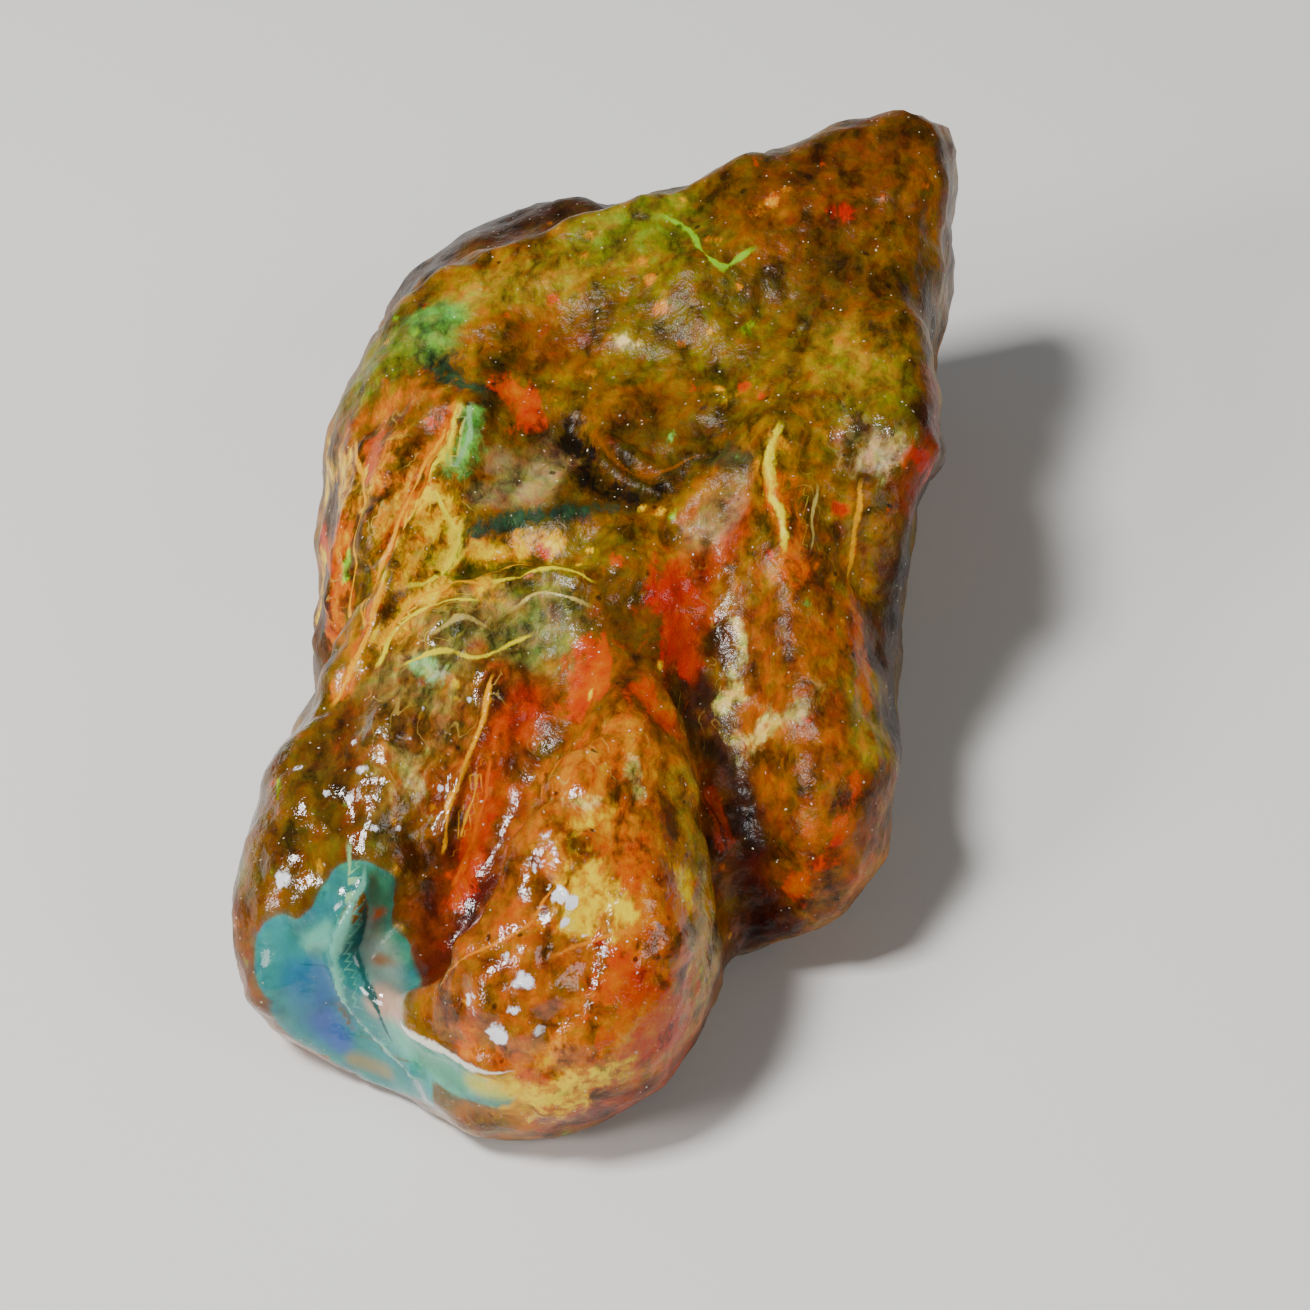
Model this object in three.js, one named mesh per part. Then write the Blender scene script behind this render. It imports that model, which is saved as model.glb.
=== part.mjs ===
// A rough precious opal, about 38 mm long, as one solid piece of stone.
//
// The stone is a tall angular block at its far end. Two fingers of stone run from it to the
// near end, a long left lobe and a swollen front lobe, with a deep valley between them. A third
// lobe lies along the right side, behind a second valley. Folds, ribs, cracks, hollows and
// fracture scoops are raised on the surface or sunk in it. The underside is broken flat.
//
// Millimetres. +Z is up, +Y runs from the near end to the far end and +X is to the right.

import * as THREE from 'three';
import { mergeVertices } from 'three/addons/utils/BufferGeometryUtils.js';

// The middle of the footprint, in the coordinates that the lists below use.
const FOOTPRINT_CENTRE = [-1.1, 2.4];
// A flat oval disc deep in the stone, which the surface is felt for from: its middle, its half
// width and half length, and how much it leans towards +X for each millimetre of +Y.
const DISC = { at: [-1.2, 1.0, 2.8], half: [6.5, 13.5], lean: 0.15 };
const UPRIGHT = 0.35; // below 1, the way out of the disc is more upright than a sphere's
const CELLS = [26, 42, 18]; // across, along and up

const EDGE_ROUNDING = 2.4; // where two faces of the block meet
const REST_ROUNDING = 0.6; // where the sides meet the flat underside

// The faces of the block: a point on each, and the way it looks.
const FACES = {
  top: { at: [-6.0, 9.5, 10.4], looks: [-0.11, -0.19, 0.98] },
  crest: { at: [-7.1, 12.7, 10.2], looks: [-0.42, 0.62, 0.66] },
  right: { at: [10.2, 17.2, 7.0], looks: [0.99, -0.16, 0.01] },
  back: { at: [3.5, 17.9, 11.5], looks: [-0.28, 0.95, -0.05] },
  left: { at: [-11.5, 8.9, 3.5], looks: [-0.96, -0.1, 0.28] },
  leftBack: { at: [-8.8, 15.6, 8.0], looks: [-0.82, 0.4, 0.3] },
  front: { at: [-0.5, -0.8, 6.5], looks: [0.05, -0.85, 0.52] },
  peakEnd: { at: [9.4, 19.2, 12.7], looks: [0.25, 0.8, 0.5] },
  underRight: { at: [9.0, 6.0, 2.2], looks: [0.78, -0.1, -0.62] },
  underBack: { at: [0.0, 18.0, 2.4], looks: [-0.2, 0.75, -0.65] },
  underLeft: { at: [-10.8, 8.0, 1.2], looks: [-0.75, 0.1, -0.65] },
};

// Rounded masses grown onto the block, in order: the middle of each, its half sizes, its turn
// about Z and the rise of its far end in degrees, and how widely it melts into the rest.
const LOBES = {
  backShelf: { at: [-2.8, 15.2, 4.2], half: [6.9, 6.0, 5.0], turn: 10, rise: 0, melt: 1.6 },
  middle: { at: [-2.5, -1.2, 4.2], half: [5.6, 7.6, 4.4], turn: -10, rise: 8, melt: 3.0 },
  leftFold: { at: [-7.2, 3.3, 6.0], half: [2.2, 5.6, 3.4], turn: -18, rise: 10, melt: 2.0 },
  leftLobe: { at: [-7.5, -3.8, 4.2], half: [3.0, 9.0, 4.8], turn: -18, rise: 8, melt: 2.0 },
  leftShoulder: { at: [-9.8, -7.6, 3.4], half: [2.5, 5.4, 3.4], turn: -14, rise: 0, melt: 2.0 },
  toe: { at: [-6.2, -11.4, 1.8], half: [4.8, 2.6, 2.8], turn: -26, rise: 0, melt: 2.6 },
  frontLobe: { at: [-2.0, -10.1, 4.3], half: [4.1, 6.4, 4.6], turn: 2, rise: 8, melt: 2.2 },
  frontRoot: { at: [-0.5, -4.4, 5.4], half: [2.6, 6.4, 3.8], turn: -4, rise: 8, melt: 2.4 },
  lobeHeel: { at: [-3.9, -13.4, 3.4], half: [2.7, 2.9, 3.5], turn: -10, rise: 0, melt: 1.8 },
  rightLobe: { at: [4.0, -3.6, 4.4], half: [3.5, 5.6, 3.9], turn: -2, rise: 0, melt: 2.2 },
  rightToe: { at: [3.7, -6.9, 3.8], half: [2.9, 2.6, 2.4], turn: 0, rise: 0, melt: 1.6 },
  frontWeb: { at: [-4.2, -8.6, 2.6], half: [4.6, 6.4, 3.8], turn: -14, rise: 12, melt: 2.4 },
  rightWeb: { at: [1.9, -4.0, 2.8], half: [2.8, 4.8, 3.6], turn: 0, rise: 12, melt: 2.4 },
  rightSide: { at: [4.5, 3.9, 5.0], half: [2.6, 8.0, 5.4], turn: -8, rise: 6, melt: 2.0 },
  shoulder: { at: [6.6, 6.2, 9.2], half: [2.4, 3.0, 2.2], turn: 0, rise: 0, melt: 1.6 },
};

// The two deep valleys: round channels cut along a path.
const VALLEY_RADIUS = 0.9;
const VALLEY_ROUNDING = 2.4;
const VALLEYS = {
  front: [
    [-2.2, -3.2, 10.2],
    [-2.9, -5.3, 9.2],
    [-4.2, -8.1, 7.8],
    [-5.2, -10.2, 6.4],
    [-6.3, -11.9, 5.4],
  ],
  right: [
    [1.3, -2.6, 9.4],
    [2.0, -5.5, 7.6],
    [2.6, -7.8, 6.0],
    [3.1, -9.6, 4.2],
  ],
};

// Low relief along a path: how far it stands out, or in where negative, and its half width.
const RELIEF = {
  diagonalFold: {
    high: 0.5,
    wide: 0.8,
    path: [[-5.9, 5.9, 10.0], [-6.7, 3.4, 9.8], [-7.6, 0.1, 9.2], [-9.7, -3.3, 7.5]],
  },
  flankGroove: {
    high: -0.5,
    wide: 0.8,
    path: [[-6.8, 4.7, 9.9], [-7.8, 1.5, 9.4], [-8.8, -0.7, 8.5], [-10.1, -1.5, 6.7]],
  },
  waistGroove: {
    high: -0.6,
    wide: 0.9,
    path: [[-8.8, -5.1, 8.6], [-7.8, -2.9, 9.0], [-6.6, -0.8, 9.3], [-4.6, 0.4, 9.2], [-2.5, 0.2, 9.3]],
  },
  upperArc: { high: 0.4, wide: 0.6, path: [[-5.7, -1.3, 9.1], [-4.2, -0.4, 9.1], [-2.4, -1.1, 9.0]] },
  lowerArc: { high: 0.35, wide: 0.6, path: [[-6.5, -2.7, 9.0], [-4.7, -1.4, 8.8], [-2.8, -1.8, 8.7]] },
  crack: {
    high: -0.6,
    wide: 0.8,
    path: [[-2.8, 5.0, 9.9], [-1.7, 3.3, 9.9], [-0.7, 2.4, 9.8], [0.4, 2.2, 9.7]],
  },
  darkPit: { high: -0.45, wide: 0.7, path: [[0.5, 0.8, 9.4]] },
  ledge: {
    high: 0.45,
    wide: 0.6,
    path: [[-1.7, 4.3, 10.0], [-0.5, 2.9, 9.9], [1.0, 2.1, 9.7], [2.7, 3.2, 10.3], [4.2, 3.9, 10.9]],
  },
  rightRib: { high: 0.5, wide: 0.8, path: [[3.5, 4.2, 10.8], [3.9, 2.2, 10.5], [4.2, 0.4, 9.8]] },
  sideHollow: { high: -0.25, wide: 1.2, path: [[2.5, -2.0, 7.7], [2.8, -4.3, 7.4], [2.5, -5.2, 5.5]] },
  leftCrest: {
    high: 0.4,
    wide: 0.7,
    path: [[-4.5, -4.3, 7.8], [-5.0, -6.2, 6.7], [-5.7, -7.5, 5.8], [-6.4, -8.7, 4.9]],
  },
  shoulderGroove: {
    high: -0.45,
    wide: 0.8,
    path: [[-9.6, -4.9, 8.0], [-9.3, -8.1, 7.8], [-9.0, -10.1, 6.8]],
  },
  blueScoop: { high: -0.6, wide: 1.3, path: [[-10.3, -12.3, 5.1], [-9.1, -13.1, 3.3], [-7.5, -14.3, 2.5]] },
  blueRidge: {
    high: 0.35,
    wide: 0.7,
    path: [[-8.8, -10.5, 6.5], [-9.2, -12.1, 4.9], [-8.0, -13.5, 3.4], [-6.3, -14.9, 2.1], [-4.0, -15.1, 1.2]],
  },
  flankNub: { high: 0.45, wide: 0.7, path: [[8.8, 4.5, 9.4]] },
  flankRibUpper: { high: 0.35, wide: 0.6, path: [[-8.2, 4.5, 9.6], [-8.8, 1.1, 8.9]] },
  flankRibLower: { high: 0.3, wide: 0.6, path: [[-9.4, 5.4, 8.3], [-9.9, 1.9, 7.4]] },
  topHollow: { high: -0.55, wide: 2.0, path: [[-3.1, 8.6, 10.5], [-0.5, 6.9, 10.5]] },
  topSwell: { high: 0.5, wide: 1.6, path: [[1.5, 10.9, 11.5], [5.1, 13.2, 12.4]] },
  crestLine: { high: 0.35, wide: 0.7, path: [[-7.6, 15.3, 7.6], [-5.1, 13.2, 10.5], [-0.5, 14.4, 11.7]] },
  rightBrow: { high: 0.45, wide: 1.0, path: [[8.0, 8.1, 11.6], [8.1, 4.2, 10.7], [7.4, 1.1, 8.1]] },
  redHollow: { high: -0.45, wide: 0.9, path: [[-1.1, -1.9, 9.3], [-0.1, -4.7, 9.5], [0.4, -6.4, 8.7]] },
  lobeLumpHigh: { high: 0.4, wide: 0.9, path: [[-3.1, -10.9, 8.6]] },
  lobeLumpLow: { high: 0.45, wide: 1.0, path: [[-4.3, -14.9, 6.0]] },
  lobeLumpRight: { high: 0.35, wide: 0.9, path: [[-0.1, -12.3, 8.2]] },
  lobeHollow: { high: -0.35, wide: 0.9, path: [[-1.8, -13.3, 8.3], [-2.7, -16.2, 5.6]] },
};

// The lumpy skin: how far the lumps stand out and how far apart they are.
const LUMPS = [
  { high: 0.12, apart: 6.1 },
  { high: 0.07, apart: 3.1 },
];

const OUTSIDE = 24; // how far from the disc the feeling for the surface starts
const STEP_SHARE = 0.7; // of the distance, taken as one step
const MOST_STEPS = 80;
const CLOSE_ENOUGH = 1e-3;
const RELAX_STEPS = 36;
const RELAX_SHARE = 0.5; // of the way to the middle of its neighbours, along the surface
const PROBE = 0.02; // how far apart the slope of the distance is measured
const LEAST_SLOPE = 0.5; // limits how far one step moves a point
const ON_THE_FLOOR = 0.02; // a point this low lies in the flat underside

const vector = (numbers) => new THREE.Vector3(...numbers);
const disc = vector(DISC.at);

// The larger and the smaller of two distances, with the crease between them rounded.
function roundMax(a, b, rounding) {
  const overlap = Math.max(rounding - Math.abs(a - b), 0) / rounding;
  return Math.max(a, b) + (overlap * overlap * rounding) / 4;
}

function roundMin(a, b, rounding) {
  return -roundMax(-a, -b, rounding);
}

const faces = Object.values(FACES).map((face) => ({
  at: vector(face.at),
  normal: vector(face.looks).normalize(),
}));

const lobes = Object.values(LOBES).map((lobe) => {
  const rise = THREE.MathUtils.degToRad(lobe.rise);
  const turn = THREE.MathUtils.degToRad(lobe.turn);
  const ownAxes = new THREE.Matrix4().makeRotationFromEuler(new THREE.Euler(rise, 0, turn, 'ZXY'));
  return {
    at: vector(lobe.at),
    half: vector(lobe.half),
    toOwnAxes: ownAxes.transpose(),
    melt: lobe.melt,
  };
});

// The straight lines of a path, each as its start, its run and the square of its length.
function linesOf(path) {
  const ends = path.length === 1 ? [path[0]] : path.slice(1);
  return ends.map((end, i) => {
    const start = vector(path[i]);
    const run = vector(end).sub(start);
    return { start, run, square: Math.max(run.lengthSq(), 1e-9) };
  });
}

const valleys = Object.values(VALLEYS).map(linesOf);
const reliefs = Object.values(RELIEF).map(({ high, wide, path }) => {
  const ball = new THREE.Box3().setFromPoints(path.map(vector)).getBoundingSphere(new THREE.Sphere());
  ball.radius += 3 * wide;
  return { high, wide, lines: linesOf(path), ball };
});

// How far a point is from a path.
function distanceToPath(point, lines) {
  let least = Infinity;
  for (const { start, run, square } of lines) {
    const x = point.x - start.x;
    const y = point.y - start.y;
    const z = point.z - start.z;
    const along = Math.min(Math.max((x * run.x + y * run.y + z * run.z) / square, 0), 1);
    const away = (x - along * run.x) ** 2 + (y - along * run.y) ** 2 + (z - along * run.z) ** 2;
    least = Math.min(least, away);
  }
  return Math.sqrt(least);
}

const local = new THREE.Vector3();
const scaled = new THREE.Vector3();

// How far a point is outside an ellipsoid, close to right near its surface.
function distanceToLobe(point, lobe) {
  local.copy(point).sub(lobe.at).applyMatrix4(lobe.toOwnAxes);
  const inHalfSizes = scaled.copy(local).divide(lobe.half).length();
  const slope = scaled.divide(lobe.half).length();
  return (inHalfSizes * (inHalfSizes - 1)) / Math.max(slope, 1e-6);
}

// A bumpy pattern between about -1 and 1: sine waves, each bent by another.
function lumps(point, apart) {
  const k = (2 * Math.PI) / apart;
  const { x, y, z } = point;
  const first = Math.sin(k * x + 1.3 * Math.sin(0.7 * k * y + 0.6));
  const second = Math.sin(k * 0.9 * y + 1.2 * Math.sin(0.8 * k * z + 2.1));
  const third = Math.sin(k * 1.1 * z + 1.1 * Math.sin(0.6 * k * x + 4.2));
  return (first * second + second * third + third * first) / 1.6;
}

// How far a point is outside the stone, negative inside it.
function distanceToStone(point) {
  let distance = -Infinity;
  for (const face of faces) {
    const above = local.copy(point).sub(face.at).dot(face.normal);
    distance = distance === -Infinity ? above : roundMax(distance, above, EDGE_ROUNDING);
  }
  for (const lobe of lobes) distance = roundMin(distance, distanceToLobe(point, lobe), lobe.melt);
  for (const lines of valleys) {
    distance = roundMax(distance, VALLEY_RADIUS - distanceToPath(point, lines), VALLEY_ROUNDING);
  }
  for (const relief of reliefs) {
    if (!relief.ball.containsPoint(point)) continue;
    const away = distanceToPath(point, relief.lines) / relief.wide;
    distance -= relief.high * Math.exp(-away * away);
  }
  for (const skin of LUMPS) distance -= skin.high * lumps(point, skin.apart);
  return roundMax(distance, -point.z, REST_ROUNDING);
}

// The first point of the stone's surface on the way in to the disc. The place on the disc and
// the way out of it follow from one direction of a sphere.
function surfacePoint(direction) {
  const along = direction.y * DISC.half[1];
  const point = new THREE.Vector3(direction.x * DISC.half[0] + along * DISC.lean, along, 0).add(disc);
  const wayOut = new THREE.Vector3(direction.x * UPRIGHT, direction.y * UPRIGHT, direction.z).normalize();
  point.addScaledVector(wayOut, OUTSIDE);
  for (let step = 0; step < MOST_STEPS; step++) {
    const distance = distanceToStone(point);
    if (distance < CLOSE_ENOUGH) break;
    point.addScaledVector(wayOut, -distance * STEP_SHARE);
  }
  return point;
}

const probed = new THREE.Vector3();

// Moves a point straight onto the surface, and leaves the surface's slope there in outward.
function drawOnto(point, outward) {
  const distance = distanceToStone(point);
  for (const axis of ['x', 'y', 'z']) {
    probed.copy(point)[axis] += PROBE;
    outward[axis] = (distanceToStone(probed) - distance) / PROBE;
  }
  const slope = Math.max(outward.length(), LEAST_SLOPE);
  outward.normalize();
  point.addScaledVector(outward, -distance / slope);
}

// For each vertex, the vertices that an edge joins to it.
function neighboursOf(geometry) {
  const neighbours = Array.from({ length: geometry.getAttribute('position').count }, () => new Set());
  const index = geometry.getIndex().array;
  for (let i = 0; i < index.length; i += 3) {
    const [a, b, c] = index.subarray(i, i + 3);
    neighbours[a].add(b).add(c);
    neighbours[b].add(c).add(a);
    neighbours[c].add(a).add(b);
  }
  return neighbours.map((joined) => [...joined]);
}

// Slides every point along the surface towards the middle of its neighbours, which evens out
// the cells.
function relax(points, outwards, neighbours) {
  const middles = neighbours.map((joined) => {
    const middle = new THREE.Vector3();
    for (const j of joined) middle.add(points[j]);
    return middle.divideScalar(joined.length);
  });
  points.forEach((point, i) => {
    const slide = middles[i].sub(point);
    slide.addScaledVector(outwards[i], -slide.dot(outwards[i]));
    point.addScaledVector(slide, RELAX_SHARE);
  });
}

// The skin of the stone: the cells of a box, drawn onto the stone and evened out.
function stoneGeometry() {
  const box = new THREE.BoxGeometry(2, 2, 2, ...CELLS);
  box.deleteAttribute('normal');
  box.deleteAttribute('uv');
  const geometry = mergeVertices(box, 1e-5);
  const position = geometry.getAttribute('position');
  const points = [];
  for (let i = 0; i < position.count; i++) {
    const direction = new THREE.Vector3().fromBufferAttribute(position, i);
    for (const axis of ['x', 'y', 'z']) direction[axis] = Math.tan((direction[axis] * Math.PI) / 4);
    points.push(surfacePoint(direction.normalize()));
  }
  const outwards = points.map(() => new THREE.Vector3());
  const neighbours = neighboursOf(geometry);
  for (let step = 0; step < RELAX_STEPS; step++) {
    points.forEach((point, i) => drawOnto(point, outwards[i]));
    relax(points, outwards, neighbours);
  }
  points.forEach((point, i) => {
    for (let again = 0; again < 3; again++) drawOnto(point, outwards[i]);
    if (point.z < ON_THE_FLOOR) point.z = 0;
    position.setXYZ(i, point.x, point.y, point.z);
  });
  return geometry;
}

const opal = new THREE.Mesh(
  stoneGeometry(),
  new THREE.MeshStandardMaterial({ color: 0x8a5218, roughness: 0.22, metalness: 0 }),
);
opal.name = 'opal';
opal.position.set(-FOOTPRINT_CENTRE[0], -FOOTPRINT_CENTRE[1], 0);

const stone = new THREE.Group();
stone.add(opal);

export default stone;
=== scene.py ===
"""A rough precious opal: one uncut nugget with lobes, folds and a fracture scoop.

The stone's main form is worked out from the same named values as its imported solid. The finer
folds, wrinkles and pits are raised on it here, and its play of colour is painted on as zones.
Places are in millimetres, in the coordinates that FOOTPRINT_CENTRE is given in. Tables inside
tenths() are written in tenths, to be short.
"""

import bpy
import numpy as np
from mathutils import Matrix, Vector


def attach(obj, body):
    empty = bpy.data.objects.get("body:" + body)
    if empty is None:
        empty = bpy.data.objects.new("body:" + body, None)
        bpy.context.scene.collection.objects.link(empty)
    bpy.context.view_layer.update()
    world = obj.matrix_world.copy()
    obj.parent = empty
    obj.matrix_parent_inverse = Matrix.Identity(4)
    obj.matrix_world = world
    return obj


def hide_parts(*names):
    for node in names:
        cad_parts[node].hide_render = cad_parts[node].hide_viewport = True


bl_info = {
    "name": "Rough precious opal",
    "version": (1, 0, 0),
    "blender": (4, 5, 0),
    "location": "3D View > Sidebar > Opal",
    "description": "Makes a rough precious opal and a plain stage to see it on",
    "category": "Add Mesh",
}

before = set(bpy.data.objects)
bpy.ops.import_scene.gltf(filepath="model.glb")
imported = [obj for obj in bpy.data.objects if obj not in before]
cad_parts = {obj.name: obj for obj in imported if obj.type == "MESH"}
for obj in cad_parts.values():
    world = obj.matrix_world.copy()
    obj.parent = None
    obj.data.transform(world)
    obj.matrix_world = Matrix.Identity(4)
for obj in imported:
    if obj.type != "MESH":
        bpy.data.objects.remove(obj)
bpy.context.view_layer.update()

MM = 0.001  # one millimetre in metres

# The main form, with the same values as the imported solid.
FOOTPRINT_CENTRE = (-1.1, 2.4, 0.0)
DISC_AT = (-1.2, 1.0, 2.8)
DISC_HALF = (6.5, 13.5)
DISC_LEAN = 0.15
UPRIGHT = 0.35
EDGE_ROUNDING = 2.4
REST_ROUNDING = 0.6


def tenths(table):
    """A table whose numbers are all written in tenths, with its numbers put right."""
    if isinstance(table, dict):
        return {name: tenths(value) for name, value in table.items()}
    if isinstance(table, tuple):
        return tuple(tenths(value) for value in table)
    return table if isinstance(table, str) else table / 10


# Faces of the block: a point on each, and the way it looks.
FACES = tenths({
    "top": ((-60, 95, 104), (-1.1, -1.9, 9.8)),
    "crest": ((-71, 127, 102), (-4.2, 6.2, 6.6)),
    "right": ((102, 172, 70), (9.9, -1.6, 0.1)),
    "back": ((35, 179, 115), (-2.8, 9.5, -0.5)),
    "left": ((-115, 89, 35), (-9.6, -1, 2.8)),
    "left back": ((-88, 156, 80), (-8.2, 4, 3)),
    "front": ((-5, -8, 65), (0.5, -8.5, 5.2)),
    "peak end": ((94, 192, 127), (2.5, 8, 5)),
    "under right": ((90, 60, 22), (7.8, -1, -6.2)),
    "under back": ((0, 180, 24), (-2, 7.5, -6.5)),
    "under left": ((-108, 80, 12), (-7.5, 1, -6.5)),
})

# Rounded masses: middle, half sizes, turn about Z, rise of the far end, width of the melt.
LOBES = {
    "back shelf": ((-2.8, 15.2, 4.2), (6.9, 6.0, 5.0), 10, 0, 1.6),
    "middle": ((-2.5, -1.2, 4.2), (5.6, 7.6, 4.4), -10, 8, 3.0),
    "left fold": ((-7.2, 3.3, 6.0), (2.2, 5.6, 3.4), -18, 10, 2.0),
    "left lobe": ((-7.5, -3.8, 4.2), (3.0, 9.0, 4.8), -18, 8, 2.0),
    "left shoulder": ((-9.8, -7.6, 3.4), (2.5, 5.4, 3.4), -14, 0, 2.0),
    "toe": ((-6.2, -11.4, 1.8), (4.8, 2.6, 2.8), -26, 0, 2.6),
    "front lobe": ((-2.0, -10.1, 4.3), (4.1, 6.4, 4.6), 2, 8, 2.2),
    "front root": ((-0.5, -4.4, 5.4), (2.6, 6.4, 3.8), -4, 8, 2.4),
    "lobe heel": ((-3.9, -13.4, 3.4), (2.7, 2.9, 3.5), -10, 0, 1.8),
    "right lobe": ((4.0, -3.6, 4.4), (3.5, 5.6, 3.9), -2, 0, 2.2),
    "right toe": ((3.7, -6.9, 3.8), (2.9, 2.6, 2.4), 0, 0, 1.6),
    "front web": ((-4.2, -8.6, 2.6), (4.6, 6.4, 3.8), -14, 12, 2.4),
    "right web": ((1.9, -4.0, 2.8), (2.8, 4.8, 3.6), 0, 12, 2.4),
    "right side": ((4.5, 3.9, 5.0), (2.6, 8.0, 5.4), -8, 6, 2.0),
    "shoulder": ((6.6, 6.2, 9.2), (2.4, 3.0, 2.2), 0, 0, 1.6),
}

VALLEY_RADIUS = 0.9
VALLEY_ROUNDING = 2.4
VALLEYS = tenths({
    "front": ((-22, -32, 102), (-29, -53, 92), (-42, -81, 78), (-52, -102, 64), (-63, -119, 54)),
    "right": ((13, -26, 94), (20, -55, 76), (26, -78, 60), (31, -96, 42)),
})

# Low relief along a path: how far it stands out or in, its half width, and its path.
RELIEF = tenths({
    "diagonal fold": (5, 8, (-59, 59, 100), (-67, 34, 98), (-76, 1, 92), (-97, -33, 75)),
    "flank groove": (-5, 8, (-68, 47, 99), (-78, 15, 94), (-88, -7, 85), (-101, -15, 67)),
    "waist groove": (-6, 9, (-88, -51, 86), (-78, -29, 90), (-66, -8, 93), (-46, 4, 92), (-25, 2, 93)),
    "upper arc": (4, 6, (-57, -13, 91), (-42, -4, 91), (-24, -11, 90)),
    "lower arc": (3.5, 6, (-65, -27, 90), (-47, -14, 88), (-28, -18, 87)),
    "crack": (-6, 8, (-28, 50, 99), (-17, 33, 99), (-7, 24, 98), (4, 22, 97)),
    "dark pit": (-4.5, 7, (5, 8, 94)),
    "ledge": (4.5, 6, (-17, 43, 100), (-5, 29, 99), (10, 21, 97), (27, 32, 103), (42, 39, 109)),
    "right rib": (5, 8, (35, 42, 108), (39, 22, 105), (42, 4, 98)),
    "side hollow": (-2.5, 12, (25, -20, 77), (28, -43, 74), (25, -52, 55)),
    "left crest": (4, 7, (-45, -43, 78), (-50, -62, 67), (-57, -75, 58), (-64, -87, 49)),
    "shoulder groove": (-4.5, 8, (-96, -49, 80), (-93, -81, 78), (-90, -101, 68)),
    "blue scoop": (-6, 13, (-103, -123, 51), (-91, -131, 33), (-75, -143, 25)),
    "blue ridge": (
        3.5, 7, (-88, -105, 65), (-92, -121, 49), (-80, -135, 34), (-63, -149, 21), (-40, -151, 12),
    ),
    "flank nub": (4.5, 7, (88, 45, 94)),
    "flank rib upper": (3.5, 6, (-82, 45, 96), (-88, 11, 89)),
    "flank rib lower": (3, 6, (-94, 54, 83), (-99, 19, 74)),
    "top hollow": (-5.5, 20, (-31, 86, 105), (-5, 69, 105)),
    "top swell": (5, 16, (15, 109, 115), (51, 132, 124)),
    "crest line": (3.5, 7, (-76, 153, 76), (-51, 132, 105), (-5, 144, 117)),
    "right brow": (4.5, 10, (80, 81, 116), (81, 42, 107), (74, 11, 81)),
    "red hollow": (-4.5, 9, (-11, -19, 93), (-1, -47, 95), (4, -64, 87)),
    "lobe lump high": (4, 9, (-31, -109, 86)),
    "lobe lump low": (4.5, 10, (-43, -149, 60)),
    "lobe lump right": (3.5, 9, (-1, -123, 82)),
    "lobe hollow": (-3.5, 9, (-18, -133, 83), (-27, -162, 56)),
})
LUMPS = ((0.12, 6.1), (0.07, 3.1))  # how far out, and how far apart

# The skin's cells across, along and up. The first, coarse skin is felt for and evened out, and
# each of its cells is then split into SPLIT by SPLIT cells.
COARSE_CELLS = (23, 38, 16)
SPLIT = 5
OUTSIDE = 24.0
STEP_SHARE = 0.7
MOST_STEPS = 80
COARSE_RELAXES = 40
FINE_RELAXES = 3
RELAX_SHARE = 0.5
PROBE = 0.02
LEAST_SLOPE = 0.5

# Finer folds than the solid has, as the relief above.
FINE_FOLDS = tenths({
    "crack floor": (-4, 3, (-28, 56, 97), (-19, 40, 98), (-10, 30, 97), (0, 26, 96)),
    "pit": (-3.5, 3, (5, 10, 92)),
    "ledge edge": (2.2, 2.5, (-19, 49, 101), (-8, 38, 100), (2, 32, 100), (14, 38, 103)),
    "rib edge": (2.8, 2.5, (37, 36, 112), (35, 23, 108), (37, 14, 106), (40, 0, 101)),
    "crest edge": (2.5, 2, (-47, -42, 82), (-53, -62, 77), (-58, -74, 73), (-63, -89, 64)),
    "upper arc edge": (2, 2, (-56, -21, 92), (-45, -12, 92), (-34, -7, 92), (-23, -12, 93)),
    "lower arc edge": (1.6, 1.8, (-50, -27, 90), (-43, -19, 90), (-33, -15, 91), (-24, -18, 91)),
    "third arc edge": (1.6, 1.8, (-68, -32, 92), (-60, -26, 93), (-52, -28, 91)),
    "fold edge": (2.2, 2.2, (-62, 51, 103), (-68, 31, 100), (-78, -3, 95), (-89, -36, 82)),
    "flank rib one": (1.6, 2.2, (-81, 46, 96), (-84, 20, 93), (-94, -8, 82)),
    "flank rib two": (1.5, 2.2, (-92, 56, 88), (-96, 28, 84), (-102, 0, 72)),
    "flank rib three": (1.3, 2.2, (-100, 54, 74), (-104, 24, 68), (-108, -6, 56)),
    "fracture ridge": (
        3.2, 2.4, (-86, -108, 65), (-89, -116, 59), (-94, -123, 49), (-90, -128, 37), (-79, -137, 29),
        (-70, -148, 26),
    ),
    "fracture spur": (2, 2.2, (-90, -116, 58), (-100, -120, 50)),
    "fracture step": (-2, 4, (-82, -123, 47), (-74, -129, 46)),
    "lobe crease": (-2.2, 2.5, (-57, -132, 50), (-46, -141, 65), (-30, -144, 72), (-14, -142, 76)),
    "lobe ridge": (2, 2.5, (-56, -128, 49), (-45, -137, 68), (-39, -135, 73)),
    "lobe star": (-3, 3, (-31, -125, 82)),
    "neck groove": (-2.5, 3, (9, -16, 88), (11, -40, 76), (12, -62, 72)),
    "toe edge": (1.8, 2.2, (-72, -144, 42), (-58, -155, 43), (-43, -162, 46)),
    "side nub": (3, 3.5, (86, 39, 102)),
})

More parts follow.
